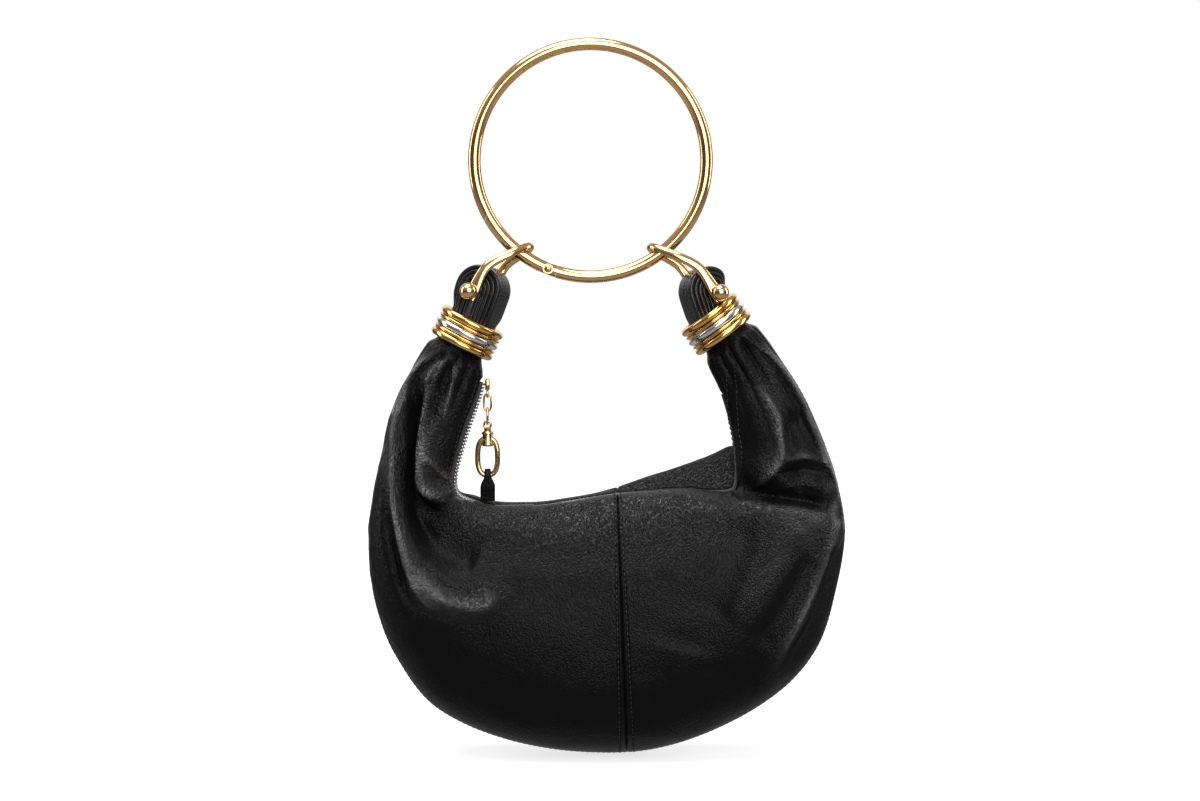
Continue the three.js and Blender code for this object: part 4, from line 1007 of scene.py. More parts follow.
def wrinkles(points, station, angle, side):
    """The slack of soft leather: slow dents all over, and creases where it is gathered or bent."""
    dents = sum(rise * leather_noise(points, size, seed * side) for rise, size, seed in DENTS)
    bent = sum(np.exp(-(((station - STATIONS[i]) / BEND_REACH) ** 2)) for i in BEND_SECTIONS)
    ridges = 1 - np.abs(leather_noise(points, RIDGE_SIZE, RIDGE_SEED * side)) * RIDGE_SHARPNESS
    pressed = RIDGE_RISE * np.clip(bent, 0, 1) * ridges**2 * np.sign(ridges)
    from_ring = past_rings(station)
    own_side = np.full(angle.shape, PLEAT_SIDE_SEED * side)
    pleat_place = np.stack([angle * PLEATS_ROUND, from_ring * PLEATS_ALONG, own_side], axis=-1)
    pleats = leather_noise(pleat_place, 1, PLEAT_SEED) * np.sin(angle)
    pleats = pleats * np.exp(-np.maximum(from_ring, 0) / PLEAT_REACH)
    return dents + pressed + PLEAT_RISE * pleats


def leather_surface(station, angle, side):
    """The creased skin, its normal, how far folds, gathers and slack lift it, and where it is a crest."""
    plain = plain_skin(station, angle, side)
    normal = plain_normal(station, angle, side)
    from_ring = past_rings(station)
    edge = inside_edges(angle, FOLD_EDGE_FADE)
    body = smooth_step(from_ring / FOLD_START)
    seen = turned(station, plain)
    folds = fold_rise(seen, side, FOLDS, FOLD_STEPS, FOLD_POWER)
    creases = fold_rise(seen, side, CREASES, CREASE_STEPS, CREASE_POWER)
    slack = wrinkles(plain, station, angle, side)
    gather = GATHER_RISE * np.sin(angle) * smooth_step(from_ring / GATHER_START)
    gather = gather * np.exp(-np.maximum(from_ring, 0) / GATHER_REACH)
    pleats = 2 * np.abs(np.cos(GATHER_COUNT / 2 * angle + slack * GATHER_WANDER)) - 1
    rise = edge * (gather * pleats + body * (folds + slack))
    plain[..., 1] += side * inside_edges(angle, CREASE_EDGE_FADE) * body * creases
    crest = edge * body * ((np.maximum(creases, 0) / CREST_CREASE) ** 2 + np.maximum(folds, 0) / CREST_FOLD)
    shoulder = smooth_step(from_ring / SHOULDER_START - 1)
    shoulder = shoulder * np.exp(-(((angle - SHOULDER_ANGLE) / SHOULDER_SPREAD) ** 2))
    crest += CREST_SHOULDER * shoulder
    from_seam = np.maximum(np.abs(station - SEAM_STATION) - SEAM_HALF_GAP, 0)
    dip = SEAM_DIP * np.exp(-((from_seam / SEAM_DIP_WIDTH) ** 2))
    dip += SEAM_ROW_GROOVE * np.exp(-(((from_seam - SEAM_ROW_OFFSET) / SEAM_ROW_WIDTH) ** 2))
    return plain, normal, rise - edge * dip, crest


def turned(station, points, is_way=False):
    """Points or directions of the skin, turned with their section about the middle line of the bag."""
    rim, hem = rim_and_hem(station)
    out_way = (hem - rim) / np.linalg.norm(hem - rim, axis=-1, keepdims=True)
    flat = points[..., [0, 2]] - (0 if is_way else (rim + hem) / 2)
    out = (flat * out_way).sum(axis=-1)
    twist = np.radians(along(station, TWIST))
    y = points[..., 1]
    moved = out * np.cos(twist) - y * np.sin(twist) - out
    result = points.copy()
    result[..., [0, 2]] += out_way * moved[..., None]
    result[..., 1] = y * np.cos(twist) + out * np.sin(twist)
    return result


def own_half(points, side):
    """Keeps points on their own side of the middle of the bag."""
    points[..., 1] = side * np.maximum(side * points[..., 1], SEAM_HALF_GAP)
    return points


def at_height(station, surface, side, lift):
    """Points at a height over a leather surface."""
    plain, normal, rise, _ = surface
    return turned(station, own_half(plain + normal * (rise + lift)[..., None], side))


def path_on_leather(station, angle, side, lift):
    """A path at a height over the leather, with the way up from it at each point."""
    surface = leather_surface(station, angle, side)
    return at_height(station, surface, side, np.full(station.shape, lift)), turned(station, surface[1], True)


def zip_half(station):
    start = smooth_step((station - ZIP_START) / ZIP_TAPER)
    end = smooth_step((BAG_LENGTH - ZIP_END - station) / ZIP_TAPER)
    return ZIP_HALF_WIDTH * start * end


def zip_angle(station, distance, side):
    """The angle at a distance from the middle of the zip."""
    return distance / (depth_at(station, side) * (1 - BELLY_FULLNESS))


def hem_angle(station, distance, side):
    """The angle at a distance from the outer seam."""
    return math.pi - distance / (depth_at(station, side) * (1 + BELLY_FULLNESS))


def edge_fall(distance, rounding):
    """How far a rounded leather edge falls away from its face, towards the middle of its thickness."""
    share = 1 - np.clip(distance / rounding, 0, 1)
    return rounding * EDGE_FALL * (1 - np.sqrt(np.maximum(1 - share * share, 0)))


def build_panel(name, side, start, end, seam_at_end):
    """One leather wall of the pouch, with rounded edges and closer rows of points beside its seams."""
    station = np.linspace(start, end, int((end - start) / GRID_STEP[side]))
    extra = [end - step if seam_at_end else start + step for step in SEAM_STEPS]
    station = np.unique(np.concatenate([station, extra]))
    close = np.array(EDGE_STEPS) / EDGE_STEPS_GIRTH
    share = np.unique(np.concatenate([np.linspace(0, 1, GIRTH_ROWS[side]), close, 1 - close]))
    first = zip_angle(station, zip_half(station) + GAP, side)
    last = hem_angle(station, SEAM_HALF_GAP, side)
    angle = first[:, None] + (last - first)[:, None] * share
    station = np.repeat(station[:, None], len(share), axis=1)
    surface = leather_surface(station, angle, side)
    steps = np.linalg.norm(np.diff(surface[0], axis=1, prepend=surface[0][:, :1]), axis=-1)
    girth = np.cumsum(steps, axis=1)
    from_edge = np.minimum(girth, girth[:, -1:] - girth)
    from_seam = np.abs(station - SEAM_STATION) - SEAM_HALF_GAP
    seam_fall = inside_edges(angle, FOLD_EDGE_FADE) * edge_fall(from_seam, SEAM_ROUND)
    fall = np.maximum(edge_fall(from_edge, EDGE_ROUND), seam_fall)
    outer = at_height(station, surface, side, -fall)
    inner = at_height(station, surface, side, fall - LEATHER)
    stations, angles = angle.shape
    count = stations * angles
    faces = grid_faces(stations, angles) + [face[::-1] for face in grid_faces(stations, angles, start=count)]
    rim = list(range(angles))
    rim += [i * angles + angles - 1 for i in range(1, stations)]
    rim += [(stations - 1) * angles + j for j in range(angles - 2, -1, -1)]
    rim += [i * angles for i in range(stations - 2, 0, -1)]
    for a, b in zip(rim, rim[1:] + rim[:1]):
        faces.append((a, count + a, count + b, b))
    points = np.concatenate([outer.reshape(-1, 3), inner.reshape(-1, 3)])
    piece = mesh_object("leather_" + name, points, faces, black_leather)
    crest = piece.data.attributes.new("crest", "FLOAT", "POINT")
    crest.data.foreach_set("value", np.tile(surface[3].ravel(), 2).astype(np.float32))
    outward(piece)
    finish_piece(piece, "bag", "leather", "panel_" + name)


black_leather = grained_leather(
    "black_leather", BLACK_LEATHER, roughness=0.23, shine=0.07, pebble=900, pebble_depth=0.0007)
for word, side in (("front", FRONT), ("back", BACK)):
    build_panel(word + "_left", side, 0.0, SEAM_STATION - SEAM_HALF_GAP, True)
    build_panel(word + "_right", side, SEAM_STATION + SEAM_HALF_GAP, BAG_LENGTH, False)
    first = zip_angle(np.array([SEAM_STATION]), ZIP_HALF_WIDTH + GAP, side)[0]
    down = np.linspace(first, math.pi - SEAM_TAPE_END, SEAM_TAPE_STEPS)
    across = np.linspace(-SEAM_TAPE_HALF, SEAM_TAPE_HALF, TAPE_COLUMNS)
    angle, offset = np.meshgrid(down, across, indexing="ij")
    normal = plain_normal(SEAM_STATION + offset, angle, side)
    tape = own_half(plain_skin(SEAM_STATION + offset, angle, side) - normal * SEAM_TAPE_BELOW, side)
    lining = tape - normal * SEAM_TAPE_THICK
    loops = np.concatenate([tape, lining[:, ::-1]], axis=1)
    finish_piece(tube("seam_tape_" + word, list(loops), black_leather), "bag", "leather")
station = np.linspace(RING_COVER, BAG_LENGTH - RING_COVER, HEM_TAPE_STEPS)
hem_loops = []
for across in np.linspace(-HEM_TAPE_HALF, HEM_TAPE_HALF, TAPE_COLUMNS):
    side = FRONT if across < 0 else BACK
    angle = hem_angle(station, abs(across), side)
    plain = plain_skin(station, angle, side)
    normal = plain_normal(station, angle, side)
    hem_loops.append(turned(station, plain - normal * HEM_TAPE_BELOW))
    hem_loops.insert(0, turned(station, plain - normal * (HEM_TAPE_BELOW + SEAM_TAPE_THICK)))
hem_tape = tube("hem_tape", list(np.stack(hem_loops, axis=1)), black_leather)
finish_piece(hem_tape, "bag", "leather")


# The stitching: waxed black thread in rows beside the middle seam, round the outer seam and along the zip.
# A double row also runs down the front of the right neck. Each stitch is a short round bead of thread.
STITCH_PITCH = 3.2
STITCH_LENGTH = 2.5
STITCH_THICK = 0.8
STITCH_HEIGHT = 0.15
STITCH_SIDES = 8
STITCH_RINGS = 7
STITCH_BLUNTNESS = 4
STITCH_TIP = 0.02
SUNK_STITCH = -0.26
FINE_PITCH = 2.1
FINE_LENGTH = 1.6
FINE_THICK = 0.5
SEAM_ROW_STEPS = 200
SEAM_ROW_END = 0.03
HEM_ROW_OFFSET = 6.5
HEM_ROW_STEPS = 500
ZIP_ROW_OFFSET = 2.4
ZIP_ROW_STEPS = 400
ROW_MARGIN = 4
THREAD_BLACK = (0.006, 0.006, 0.007, 1)
THREAD_GLOSSY = 0.35
THREAD_DULL = 0.55
STRAND_SCALE = 900
STRAND_DISTORTION = 2
STRAND_DEPTH = 0.00006
STRAND_STRENGTH = 0.5
# Double row of the right neck: paths of points (x, z) in the front view.
NECK_ROWS = [
    [(81.6, -190), (83.2, -225.6), (84.9, -241.8), (80.3, -258)],
    [(86.3, -190), (89.1, -225.6), (90.9, -241.8), (86.0, -259)],
]
NECK_ROW_STEPS = 24
NECK_ROW_POINTS = 120
# The grid of stations and angles that a place on the front is looked up in.
FRONT_MARGIN = 20
FRONT_STATIONS = 700
FRONT_ANGLES = 300
FRONT_FIRST_ANGLE = 0.1
FRONT_LAST_ANGLE = 3.0


def wave_field(tree, place, scale, distortion):
    inputs = {"Vector": place, "Scale": scale, "Distortion": distortion}
    return add_node(tree, "ShaderNodeTexWave", inputs).outputs["Fac"]


def thread_material():
    material, tree, shader, place = new_material("black_thread")
    strands = wave_field(tree, place, STRAND_SCALE, STRAND_DISTORTION)
    feed(tree, shader, {
        "Base Color": THREAD_BLACK,
        "Roughness": spread(tree, strands, THREAD_GLOSSY, THREAD_DULL),
        "Normal": bump(tree, strands, STRAND_DEPTH, STRAND_STRENGTH)})
    return material


def row_tree():
    """Copies of a small piece along a path, each turned along it and towards its stored up direction."""
    tree, inputs, output = new_tree("row_on_path", [
        ("Piece", "Object"), ("Pitch", "Float"), ("Finish", "Material")])
    curve = add_node(tree, "GeometryNodeMeshToCurve", {"Mesh": inputs["Geometry"]})
    even_inputs = {"Curve": curve.outputs["Curve"], "Length": inputs["Pitch"]}
    even = add_node(tree, "GeometryNodeResampleCurve", even_inputs, mode="LENGTH")
    way = tree.nodes.new("GeometryNodeInputTangent").outputs["Tangent"]
    along_path = add_node(tree, "FunctionNodeAlignRotationToVector", {"Vector": way}, axis="X")
    up = add_node(tree, "GeometryNodeInputNamedAttribute", {"Name": "up"}, data_type="FLOAT_VECTOR")
    up_inputs = {"Rotation": along_path.outputs["Rotation"], "Vector": up.outputs["Attribute"]}
    upright = add_node(tree, "FunctionNodeAlignRotationToVector", up_inputs, axis="Z", pivot_axis="X")
    source = add_node(tree, "GeometryNodeObjectInfo", {"Object": inputs["Piece"]})
    copies = add_node(tree, "GeometryNodeInstanceOnPoints", {
        "Points": even.outputs["Curve"], "Instance": source.outputs["Geometry"],
        "Rotation": upright.outputs["Rotation"]})
    return end_tree(tree, copies.outputs["Instances"], inputs["Finish"], output)


def row_of_pieces(name, paths, sample, pitch, material, slot):
    """Copies of a sample along paths. A path is a pair of arrays: points in millimetres and up directions."""
    points = np.concatenate([path[0] for path in paths]) * MM
    ups = np.concatenate([path[1] for path in paths])
    edges = []
    start = 0
    for path, _ in paths:
        edges += [(start + i, start + i + 1) for i in range(len(path) - 1)]
        start += len(path)
    mesh = bpy.data.meshes.new(name)
    mesh.from_pydata(points.tolist(), edges, [])
    up = mesh.attributes.new("up", "FLOAT_VECTOR", "POINT")
    up.data.foreach_set("vector", ups.astype(np.float32).ravel())
    mesh.materials.append(material)
    piece = bpy.data.objects.new(name, mesh)
    bpy.context.scene.collection.objects.link(piece)
    bpy.context.view_layer.update()
    run_tree(piece, rows_on_paths, {"Piece": sample, "Pitch": pitch * MM, "Finish": material})
    piece.data.shade_smooth()
    finish_piece(piece, "bag", slot)


def front_place(points):
    """The station and angle of points (x, z) on the front of the bag."""
    stations = np.linspace(FRONT_MARGIN, BAG_LENGTH - FRONT_MARGIN, FRONT_STATIONS)
    angles = np.linspace(FRONT_FIRST_ANGLE, FRONT_LAST_ANGLE, FRONT_ANGLES)
    station, angle = np.meshgrid(stations, angles, indexing="ij")
    surface = turned(station, plain_skin(station, angle, FRONT)).reshape(-1, 3)[:, [0, 2]]
    nearest = [np.argmin(((surface - point) ** 2).sum(axis=1)) for point in points]
    return station.ravel()[nearest], angle.ravel()[nearest]


def stitch_bead(name, length, thick):
    """One stitch: a short round bead of thread with blunt ends."""
    turn = around(STITCH_SIDES)
    rings = []
    for share in np.linspace(-1, 1, STITCH_RINGS):
        radius = thick / 2 * math.sqrt(max(1 - share**STITCH_BLUNTNESS, STITCH_TIP))
        middle = np.full(len(turn), share * length / 2)
        rings.append(np.stack([middle, np.cos(turn) * radius, np.sin(turn) * radius], axis=1))
    return tube(name, rings, black_thread)


black_thread = thread_material()
rows_on_paths = row_tree()
stitch = stitch_bead("stitch_sample", STITCH_LENGTH, STITCH_THICK)
fine_stitch = stitch_bead("fine_stitch_sample", FINE_LENGTH, FINE_THICK)
row_of_pieces("loop_thread", loop_threads, fine_stitch, FINE_PITCH, black_thread, "leather_edge")
for word, side in (("front", FRONT), ("back", BACK)):
    seam_rows = []
    for offset in (-SEAM_ROW_OFFSET, SEAM_ROW_OFFSET):
        station = np.full(SEAM_ROW_STEPS, SEAM_STATION + offset)
        first = zip_angle(station[:1], ZIP_HALF_WIDTH + 2 * ZIP_ROW_OFFSET, side)[0]
        angle = np.linspace(first, math.pi - SEAM_ROW_END, SEAM_ROW_STEPS)
        seam_rows.append(path_on_leather(station, angle, side, STITCH_HEIGHT))
    station = np.linspace(RING_COVER + ROW_MARGIN, BAG_LENGTH - RING_COVER - ROW_MARGIN, HEM_ROW_STEPS)
    angle = hem_angle(station, GAP + HEM_ROW_OFFSET, side)
    hem_row = path_on_leather(station, angle, side, SUNK_STITCH)
    station = np.linspace(ZIP_START - ROW_MARGIN, BAG_LENGTH - ZIP_END + ROW_MARGIN, ZIP_ROW_STEPS)
    angle = zip_angle(station, zip_half(station) + ZIP_ROW_OFFSET, side)
    zip_row = path_on_leather(station, angle, side, SUNK_STITCH)
    for place, rows in (("seam", seam_rows), ("hem", [hem_row]), ("zip", [zip_row])):
        row_of_pieces(f"{place}_thread_{word}", rows, stitch, STITCH_PITCH, black_thread, "leather")
neck_rows = []
for row in NECK_ROWS:
    station, angle = front_place(fold_path(row, NECK_ROW_STEPS))
    coarse = np.arange(NECK_ROW_STEPS + 1)
    fine = np.linspace(0, NECK_ROW_STEPS, NECK_ROW_POINTS)
    station = np.interp(fine, coarse, station)
    angle = np.interp(fine, coarse, angle)
    neck_rows.append(path_on_leather(station, angle, FRONT, STITCH_HEIGHT))
row_of_pieces("neck_thread", neck_rows, stitch, STITCH_PITCH, black_thread, "leather")


# The zip: a woven black tape under the two turned leather edges, with a row of small metal teeth on each
# half. Its slider stands at the top of the left neck, with a bail for the pull.
ZIP_THICK = 1.2
ZIP_STEPS = 260
ZIP_MIDDLE = 0.01
TOOTH_PITCH = 2.1
TOOTH_OFFSET = 1.05
TOOTH_HEIGHT = 0.6
TOOTH_HALF_SIZE = (0.62, 1.5, 0.75)
TOOTH_TOP = (0.75, 0.9, 1)
TOOTH_ROUNDING = 0.18
TEETH_MARGIN = 1
TEETH_STEPS = 900
TEETH_END_SECTION = 11
ZIP_BLACK = (0.012, 0.012, 0.014, 1)
ZIP_ROUGHNESS = 0.75
ZIP_SHEEN = 0.2
WEAVE_SCALE = 550
WEAVE_DISTORTION = 1.2
WEAVE_PALE = 2.2
WEAVE_DEPTH = 0.0001
WEAVE_STRENGTH = 0.6
TOOTH_SILVER = (0.62, 0.62, 0.62, 1)
TOOTH_ROUGHNESS = 0.22
BOX_FACES = [(0, 1, 3, 2), (4, 6, 7, 5), (0, 4, 5, 1), (2, 3, 7, 6), (0, 2, 6, 4), (1, 5, 7, 3)]


def woven_tape():
    material, tree, shader, place = new_material("zip_tape")
    weave = wave_field(tree, place, WEAVE_SCALE, WEAVE_DISTORTION)
    feed(tree, shader, {
        "Roughness": ZIP_ROUGHNESS,
        "Sheen Weight": ZIP_SHEEN,
        "Base Color": colour_between(tree, weave, ZIP_BLACK, scaled_colour(ZIP_BLACK, WEAVE_PALE)),
        "Normal": bump(tree, weave, WEAVE_DEPTH, WEAVE_STRENGTH)})
    return material


def zip_surface(station, across, lift):
    """Points of the zip, by distance across from its middle line and height over the tape, and the way up."""
    side = FRONT if across < 0 else BACK
    angle = zip_angle(station, np.full(station.shape, abs(across)), side)
    normal = plain_normal(station, angle, side)
    points = plain_skin(station, angle, side) + normal * lift
    return turned(station, points), turned(station, normal, True)


def box_corners(half_size):
    return np.array([(x, y, z) for x in (-1, 1) for y in (-1, 1) for z in (-1, 1)], float) * half_size


def softened_box(name, corners, material, rounding, segments):
    """A box with bevelled edges."""
    box = outward(mesh_object(name, corners, BOX_FACES, material))
    bevel = box.modifiers.new("soften", "BEVEL")
    bevel.width = rounding * MM
    bevel.segments = segments
    return bake(box)


zip_tape = woven_tape()
tooth_metal = polished_metal("zip_tooth_metal", TOOTH_SILVER, TOOTH_ROUGHNESS)
zip_from = ZIP_START + ZIP_TAPER
station = np.linspace(zip_from, BAG_LENGTH - ZIP_END - ZIP_TAPER, ZIP_STEPS)
tape_half = ZIP_HALF_WIDTH - 2 * GAP
zip_loops = []
for edge, lift in ((tape_half, 0.0), (-tape_half, -ZIP_THICK)):
    for across in np.linspace(-edge, edge, TAPE_COLUMNS):
        zip_loops.append(zip_surface(station, across if across else ZIP_MIDDLE, lift)[0])
tape_piece = tube("zip_band", list(np.stack(zip_loops, axis=1)), zip_tape)
finish_piece(tape_piece, "bag", "zip", "zip_chain")
corners = box_corners(TOOTH_HALF_SIZE)
corners[corners[:, 2] > 0] *= TOOTH_TOP
tooth = softened_box("tooth_sample", corners, tooth_metal, TOOTH_ROUNDING, segments=1)
teeth_to = STATIONS[len(NECK_SECTIONS) + TEETH_END_SECTION]
tooth_rows = []
for across, shift in ((-TOOTH_OFFSET, 0), (TOOTH_OFFSET, TOOTH_PITCH / 2)):
    station = np.linspace(zip_from + TEETH_MARGIN + shift, teeth_to + shift, TEETH_STEPS)
    tooth_rows.append(zip_surface(station, across, TOOTH_HEIGHT))
row_of_pieces("zip_teeth", tooth_rows, tooth, TOOTH_PITCH, tooth_metal, "zip")


# The zip's pull: a bail on the slider, two wire links, and a swivel block with an oval ring, all pale gold.
# A short leather strap is folded over the bottom of the ring.
OVAL_FILL = 0.75
PULL_X = -61.8
SLIDER_Z = -199.5
SLIDER_SIZE = (2.8, 7, 7)
SLIDER_ROUNDING = 0.9
BAIL = {"width": 5.4, "height": 5.4, "wire": 1.4}
LINK = {"width": 5.8, "height": 11.4, "wire": 1.4}
PULL_RING = {"width": 15.2, "height": 25.4, "wire": 3.3}
CLASP_NECK = 4.2
CLASP_NECK_HEIGHT = 2.2
CLASP_BLOCK = 7.2
CLASP_BLOCK_HEIGHT = 9
CLASP_RING_BELOW = 2.6
# The turned outline of the clasp: how far in from its side, and how far from foot, shoulder or top.
CLASP_FOOT = [(0.6, 0), (0.1, 0.5), (0.1, 1.6), (0.5, 2)]
CLASP_SHOULDER = [(0.5, 2), (0, 1.6), (0, 0.5), (0.5, 0)]
CLASP_NECK_TOP = [(0, 0.4), (0.5, 0)]
STRAP_WIDTH = 8.8
STRAP_FOLD_WIDTH = 3.8
STRAP_THICK = 1.9
STRAP_LENGTH = 15.5
STRAP_CLOSE = 0.6
STRAP_OPEN_SHARE = 0.7
STRAP_TAPER_FROM = 0.55
STRAP_TAPER_SHARE = 0.45
STRAP_SQUARENESS = 0.35
STRAP_FLATNESS = 0.6
STRAP_STEPS = 14
STRAP_FOLD_STEPS = 25
STRAP_SIDES = 28


def wire_half(shape, size):
    """Half of a ring's width or height, to the middle of its wire."""
    return (shape[size] - shape["wire"]) / 2


def oval_ring(name, shape, z, quarter_turn, steps=72, sides=16):
    """A ring of round wire, upright: an oval with its corners filled out."""
    angle = around(steps)
    middle = np.stack([wire_half(shape, "width") * rounded(np.cos(angle), OVAL_FILL),
                       wire_half(shape, "height") * rounded(np.sin(angle), OVAL_FILL)], axis=1)
    way = np.roll(middle, -1, axis=0) - np.roll(middle, 1, axis=0)
    way /= np.linalg.norm(way, axis=1, keepdims=True)
    points = []
    for (x, height), (way_x, way_z) in zip(middle, way):
        for turn in around(sides):
            out = math.cos(turn) * shape["wire"] / 2
            deep = math.sin(turn) * shape["wire"] / 2
            flat = (x + way_z * out, deep)
            across = (-flat[1], flat[0]) if quarter_turn else flat
            points.append((PULL_X + across[0], across[1], z + height - way_x * out))
    return outward(mesh_object(name, points, grid_faces(steps, sides, True, True), pale_gold))


def bottom_of(shape, z):
    return z - wire_half(shape, "height")


def hang_from(wire_z, wire, shape):
    """The height of a ring's middle when it hangs from a wire."""
    return wire_z + (wire + shape["wire"]) / 2 + GAP - wire_half(shape, "height")


def strap_route():
    """The strap's way up, over the ring's wire and down: its y and z, its outward way and its width."""
    wire_z = bottom_of(PULL_RING, ring_z)
    radius = PULL_RING["wire"] / 2 + GAP + STRAP_THICK / 2
    front = []
    for share in np.linspace(0, 1, STRAP_STEPS):
        y = -radius * (STRAP_CLOSE + (1 - STRAP_CLOSE) * smooth_step(share / STRAP_OPEN_SHARE))
        taper = smooth_step((share - STRAP_TAPER_FROM) / STRAP_TAPER_SHARE)
        width = STRAP_WIDTH + (STRAP_FOLD_WIDTH - STRAP_WIDTH) * taper
        front.append((y, wire_z - STRAP_LENGTH * (1 - share), -1.0, 0.0, width))
    fold = []
    for angle in np.linspace(math.pi, 0, STRAP_FOLD_STEPS)[1:-1]:
        way_y, way_z = math.cos(angle), math.sin(angle)
        fold.append((radius * way_y, wire_z + radius * way_z, way_y, way_z, STRAP_FOLD_WIDTH))
    return front + fold + [(-y, z, -way_y, way_z, width) for y, z, way_y, way_z, width in reversed(front)]


bail_z = SLIDER_Z - SLIDER_SIZE[2] / 2 - BAIL["height"] / 2 + BAIL["wire"] / 2
slider_corners = box_corners(np.array(SLIDER_SIZE) / 2) + (PULL_X, 0, SLIDER_Z)
slider = softened_box("slider", slider_corners, pale_gold, SLIDER_ROUNDING, segments=4)
join_solids(slider, oval_ring("bail", BAIL, bail_z, True), "UNION")
smooth_by_angle(slider, degrees=50)
finish_piece(slider, "bag", "gold", "zip_slider")
upper_z = hang_from(bottom_of(BAIL, bail_z), BAIL["wire"], LINK)
finish_piece(oval_ring("upper_link", LINK, upper_z, False), "bag", "gold", "pull_link_upper")
lower_z = hang_from(bottom_of(LINK, upper_z), LINK["wire"], LINK)
finish_piece(oval_ring("lower_link", LINK, lower_z, True), "bag", "gold", "pull_link_lower")
eye_z = hang_from(bottom_of(LINK, lower_z), LINK["wire"], BAIL)
block_top = bottom_of(BAIL, eye_z) + BAIL["wire"] / 4
neck_bottom = block_top - CLASP_NECK_HEIGHT
block_bottom = neck_bottom - CLASP_BLOCK_HEIGHT
ring_z = neck_bottom - CLASP_RING_BELOW - PULL_RING["height"] / 2
half_block = CLASP_BLOCK / 2
half_neck = CLASP_NECK / 2
clasp_profile = [(0, block_bottom)]
clasp_profile += [(half_block - inset, block_bottom + rise) for inset, rise in CLASP_FOOT]
clasp_profile += [(half_block - inset, neck_bottom - fall) for inset, fall in CLASP_SHOULDER]
clasp_profile += [(half_neck, neck_bottom)]
clasp_profile += [(half_neck - inset, block_top - fall) for inset, fall in CLASP_NECK_TOP]
clasp_profile += [(0, block_top)]
clasp = lathe_about_y("clasp", clasp_profile, (0, 0, 0), pale_gold)
clasp.data.transform(Matrix.Translation((PULL_X * MM, 0, 0)) @ Matrix.Rotation(math.pi / 2, 4, "X"))
join_solids(clasp, oval_ring("eye", BAIL, eye_z, False), "UNION")
join_solids(clasp, oval_ring("pull_oval", PULL_RING, ring_z, False, steps=96, sides=24), "UNION")
smooth_by_angle(clasp, degrees=45)
finish_piece(clasp, "bag", "gold", "pull_clasp")
strap_loops = []
turn = around(STRAP_SIDES)
for y, z, way_y, way_z, width in strap_route():
    across = rounded(np.cos(turn), STRAP_SQUARENESS) * width / 2
    out = rounded(np.sin(turn), STRAP_FLATNESS) * STRAP_THICK / 2
    strap_loops.append(np.stack([PULL_X + across, y + out * way_y, z + out * way_z], axis=1))
strap = tube("pull_tab", strap_loops, black_leather)
finish_piece(strap, "bag", "leather", "pull_strap")
for sample in (stitch, fine_stitch, tooth):
    bpy.data.objects.remove(sample)


# The studio: a pale floor just under the bag, a pale surround, and soft lights above, around and in front.
# The camera stands straight in front, a little above the middle of the bag.
WHITE = (1, 1, 1, 1)
PHOTO_MIDDLE = (0.0057, 0.0, -0.2091)
CAMERA_DISTANCE = 2.0
CAMERA_RISE = math.radians(4)
CAMERA_LENS = 100
CAMERA_SENSOR = 36
FLOOR_Z = -0.4235
FLOOR_SIZE = 8.0
FLOOR_DARK = (0.4, 0.4, 0.4, 1)
FLOOR_LIGHT = (0.41, 0.41, 0.41, 1)
FLOOR_TONE_SCALE = 3
FLOOR_ROUGHNESS = 0.9
FLOOR_SHINE = 0.1
FLOOR_GLOW = 0.72
# The surround is dark at the horizon and brighter up and down, for all but what the camera sees directly.
SURROUND_FROM_SLOPE = 0.1
SURROUND_TO_SLOPE = 0.5
SURROUND_DARK = 0.08
SURROUND_BRIGHT = 0.36
SURROUND_SEEN = 1.0
SUN_POWER = 3
SUN_SOFTNESS = math.radians(50)
SUN_TURN = (math.radians(8), math.radians(-12), 0)
# Each soft light: its name, its place, what it is aimed at, its width and height, and its power.
SOFT_LIGHTS = [
    ("left_light", (-1.6, 0.15, 0.25), (0, 0, -0.2), (0.45, 1.5), 9),
    ("right_light", (1.6, 0.15, 0.25), (0, 0, -0.2), (0.45, 1.5), 9),
    ("back_light", (0, 1.7, 0.3), (0, 0, -0.2), (2.6, 1.6), 10),
    ("front_panel", (0.5, -2.1, 0.6), (0, 0, -0.1), (1.8, 2.0), 44),
]

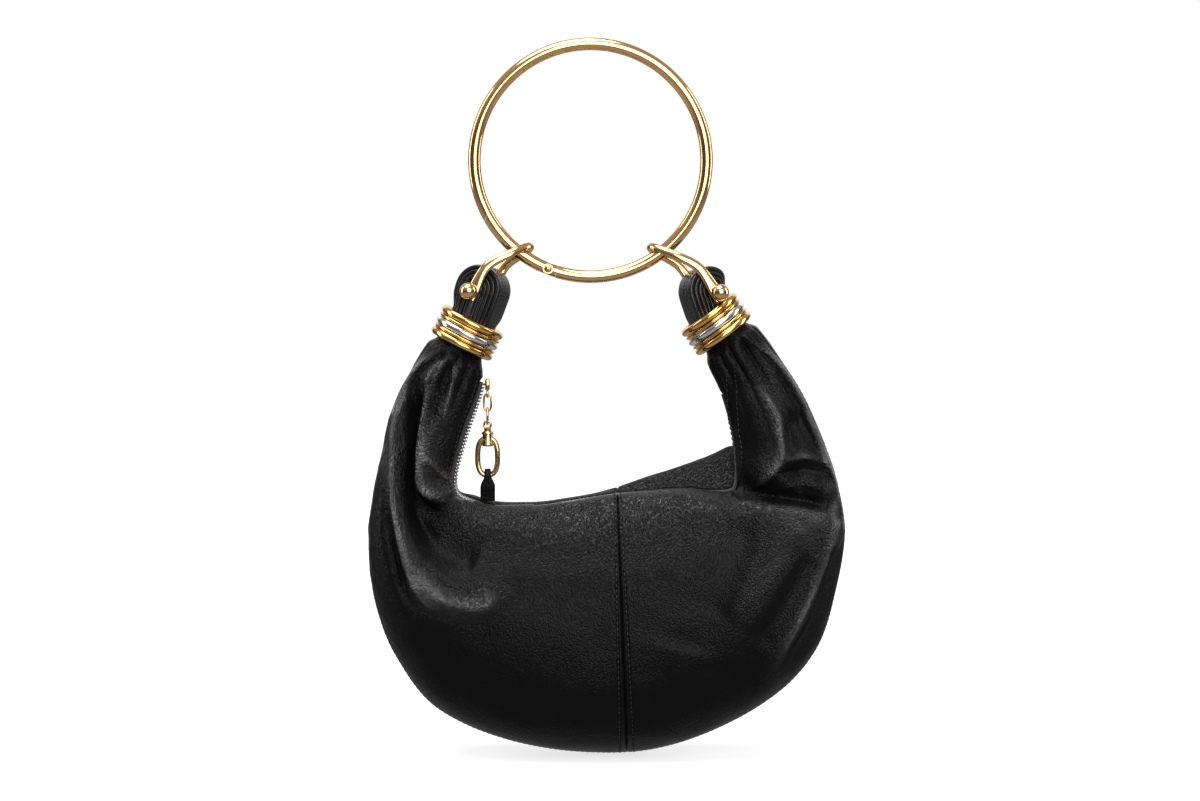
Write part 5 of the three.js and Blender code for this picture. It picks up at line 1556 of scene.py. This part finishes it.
floor_material, floor_tree, floor_shader, floor_place = new_material("pale_floor")
floor_tone = noise_field(floor_tree, floor_place, FLOOR_TONE_SCALE, detail=2)
feed(floor_tree, floor_shader, {
    "Base Color": colour_between(floor_tree, floor_tone, FLOOR_DARK, FLOOR_LIGHT),
    "Roughness": FLOOR_ROUGHNESS,
    "Specular IOR Level": FLOOR_SHINE,
    "Emission Color": WHITE,
    "Emission Strength": FLOOR_GLOW})
half_floor = FLOOR_SIZE / 2 / MM
floor_corners = []
for x, y in ((-1, -1), (1, -1), (1, 1), (-1, 1)):
    floor_corners.append((x * half_floor, y * half_floor, FLOOR_Z / MM))
floor = mesh_object("floor", floor_corners, [(0, 1, 2, 3)], floor_material)
floor.visible_glossy = False
floor.visible_diffuse = False
world = bpy.data.worlds.new("studio")
bpy.context.scene.world = world
world.use_nodes = True
sky = world.node_tree
heading = sky.nodes.new("ShaderNodeTexCoord").outputs["Generated"]
height = add_node(sky, "ShaderNodeSeparateXYZ", {"Vector": heading}).outputs["Z"]
slope = add_node(sky, "ShaderNodeMath", {0: height}, operation="ABSOLUTE").outputs["Value"]
surround = map_range(sky, slope, SURROUND_FROM_SLOPE, SURROUND_TO_SLOPE, SURROUND_DARK, SURROUND_BRIGHT)
seen = sky.nodes.new("ShaderNodeLightPath").outputs["Is Camera Ray"]
glow = add_node(sky, "ShaderNodeMix", {"Factor": seen, "A": surround, "B": SURROUND_SEEN}).outputs["Result"]
feed(sky, sky.nodes["Background"], {"Color": WHITE, "Strength": glow})
overhead = bpy.data.lights.new("overhead", "SUN")
overhead.energy = SUN_POWER
overhead.angle = SUN_SOFTNESS
overhead_object = bpy.data.objects.new("overhead", overhead)
overhead_object.rotation_euler = SUN_TURN
bpy.context.scene.collection.objects.link(overhead_object)
for name, place, aim, size, power in SOFT_LIGHTS:
    lamp = bpy.data.lights.new(name, "AREA")
    lamp.shape = "RECTANGLE"
    lamp.size, lamp.size_y = size
    lamp.energy = power
    lamp_object = bpy.data.objects.new(name, lamp)
    lamp_object.location = place
    lamp_object.rotation_euler = (Vector(aim) - Vector(place)).to_track_quat("-Z", "Y").to_euler()
    lamp_object.visible_camera = False
    bpy.context.scene.collection.objects.link(lamp_object)
camera_data = bpy.data.cameras.new("photo_camera")
camera_data.lens = CAMERA_LENS
camera_data.sensor_width = CAMERA_SENSOR
camera = bpy.data.objects.new("photo_camera", camera_data)
camera_way = Vector((0, -math.cos(CAMERA_RISE), math.sin(CAMERA_RISE)))
camera.location = Vector(PHOTO_MIDDLE) + camera_way * CAMERA_DISTANCE
camera.rotation_euler = (-camera_way).to_track_quat("-Z", "Y").to_euler()
bpy.context.scene.collection.objects.link(camera)
bpy.context.scene.camera = camera
bpy.context.scene.view_settings.view_transform = "Standard"
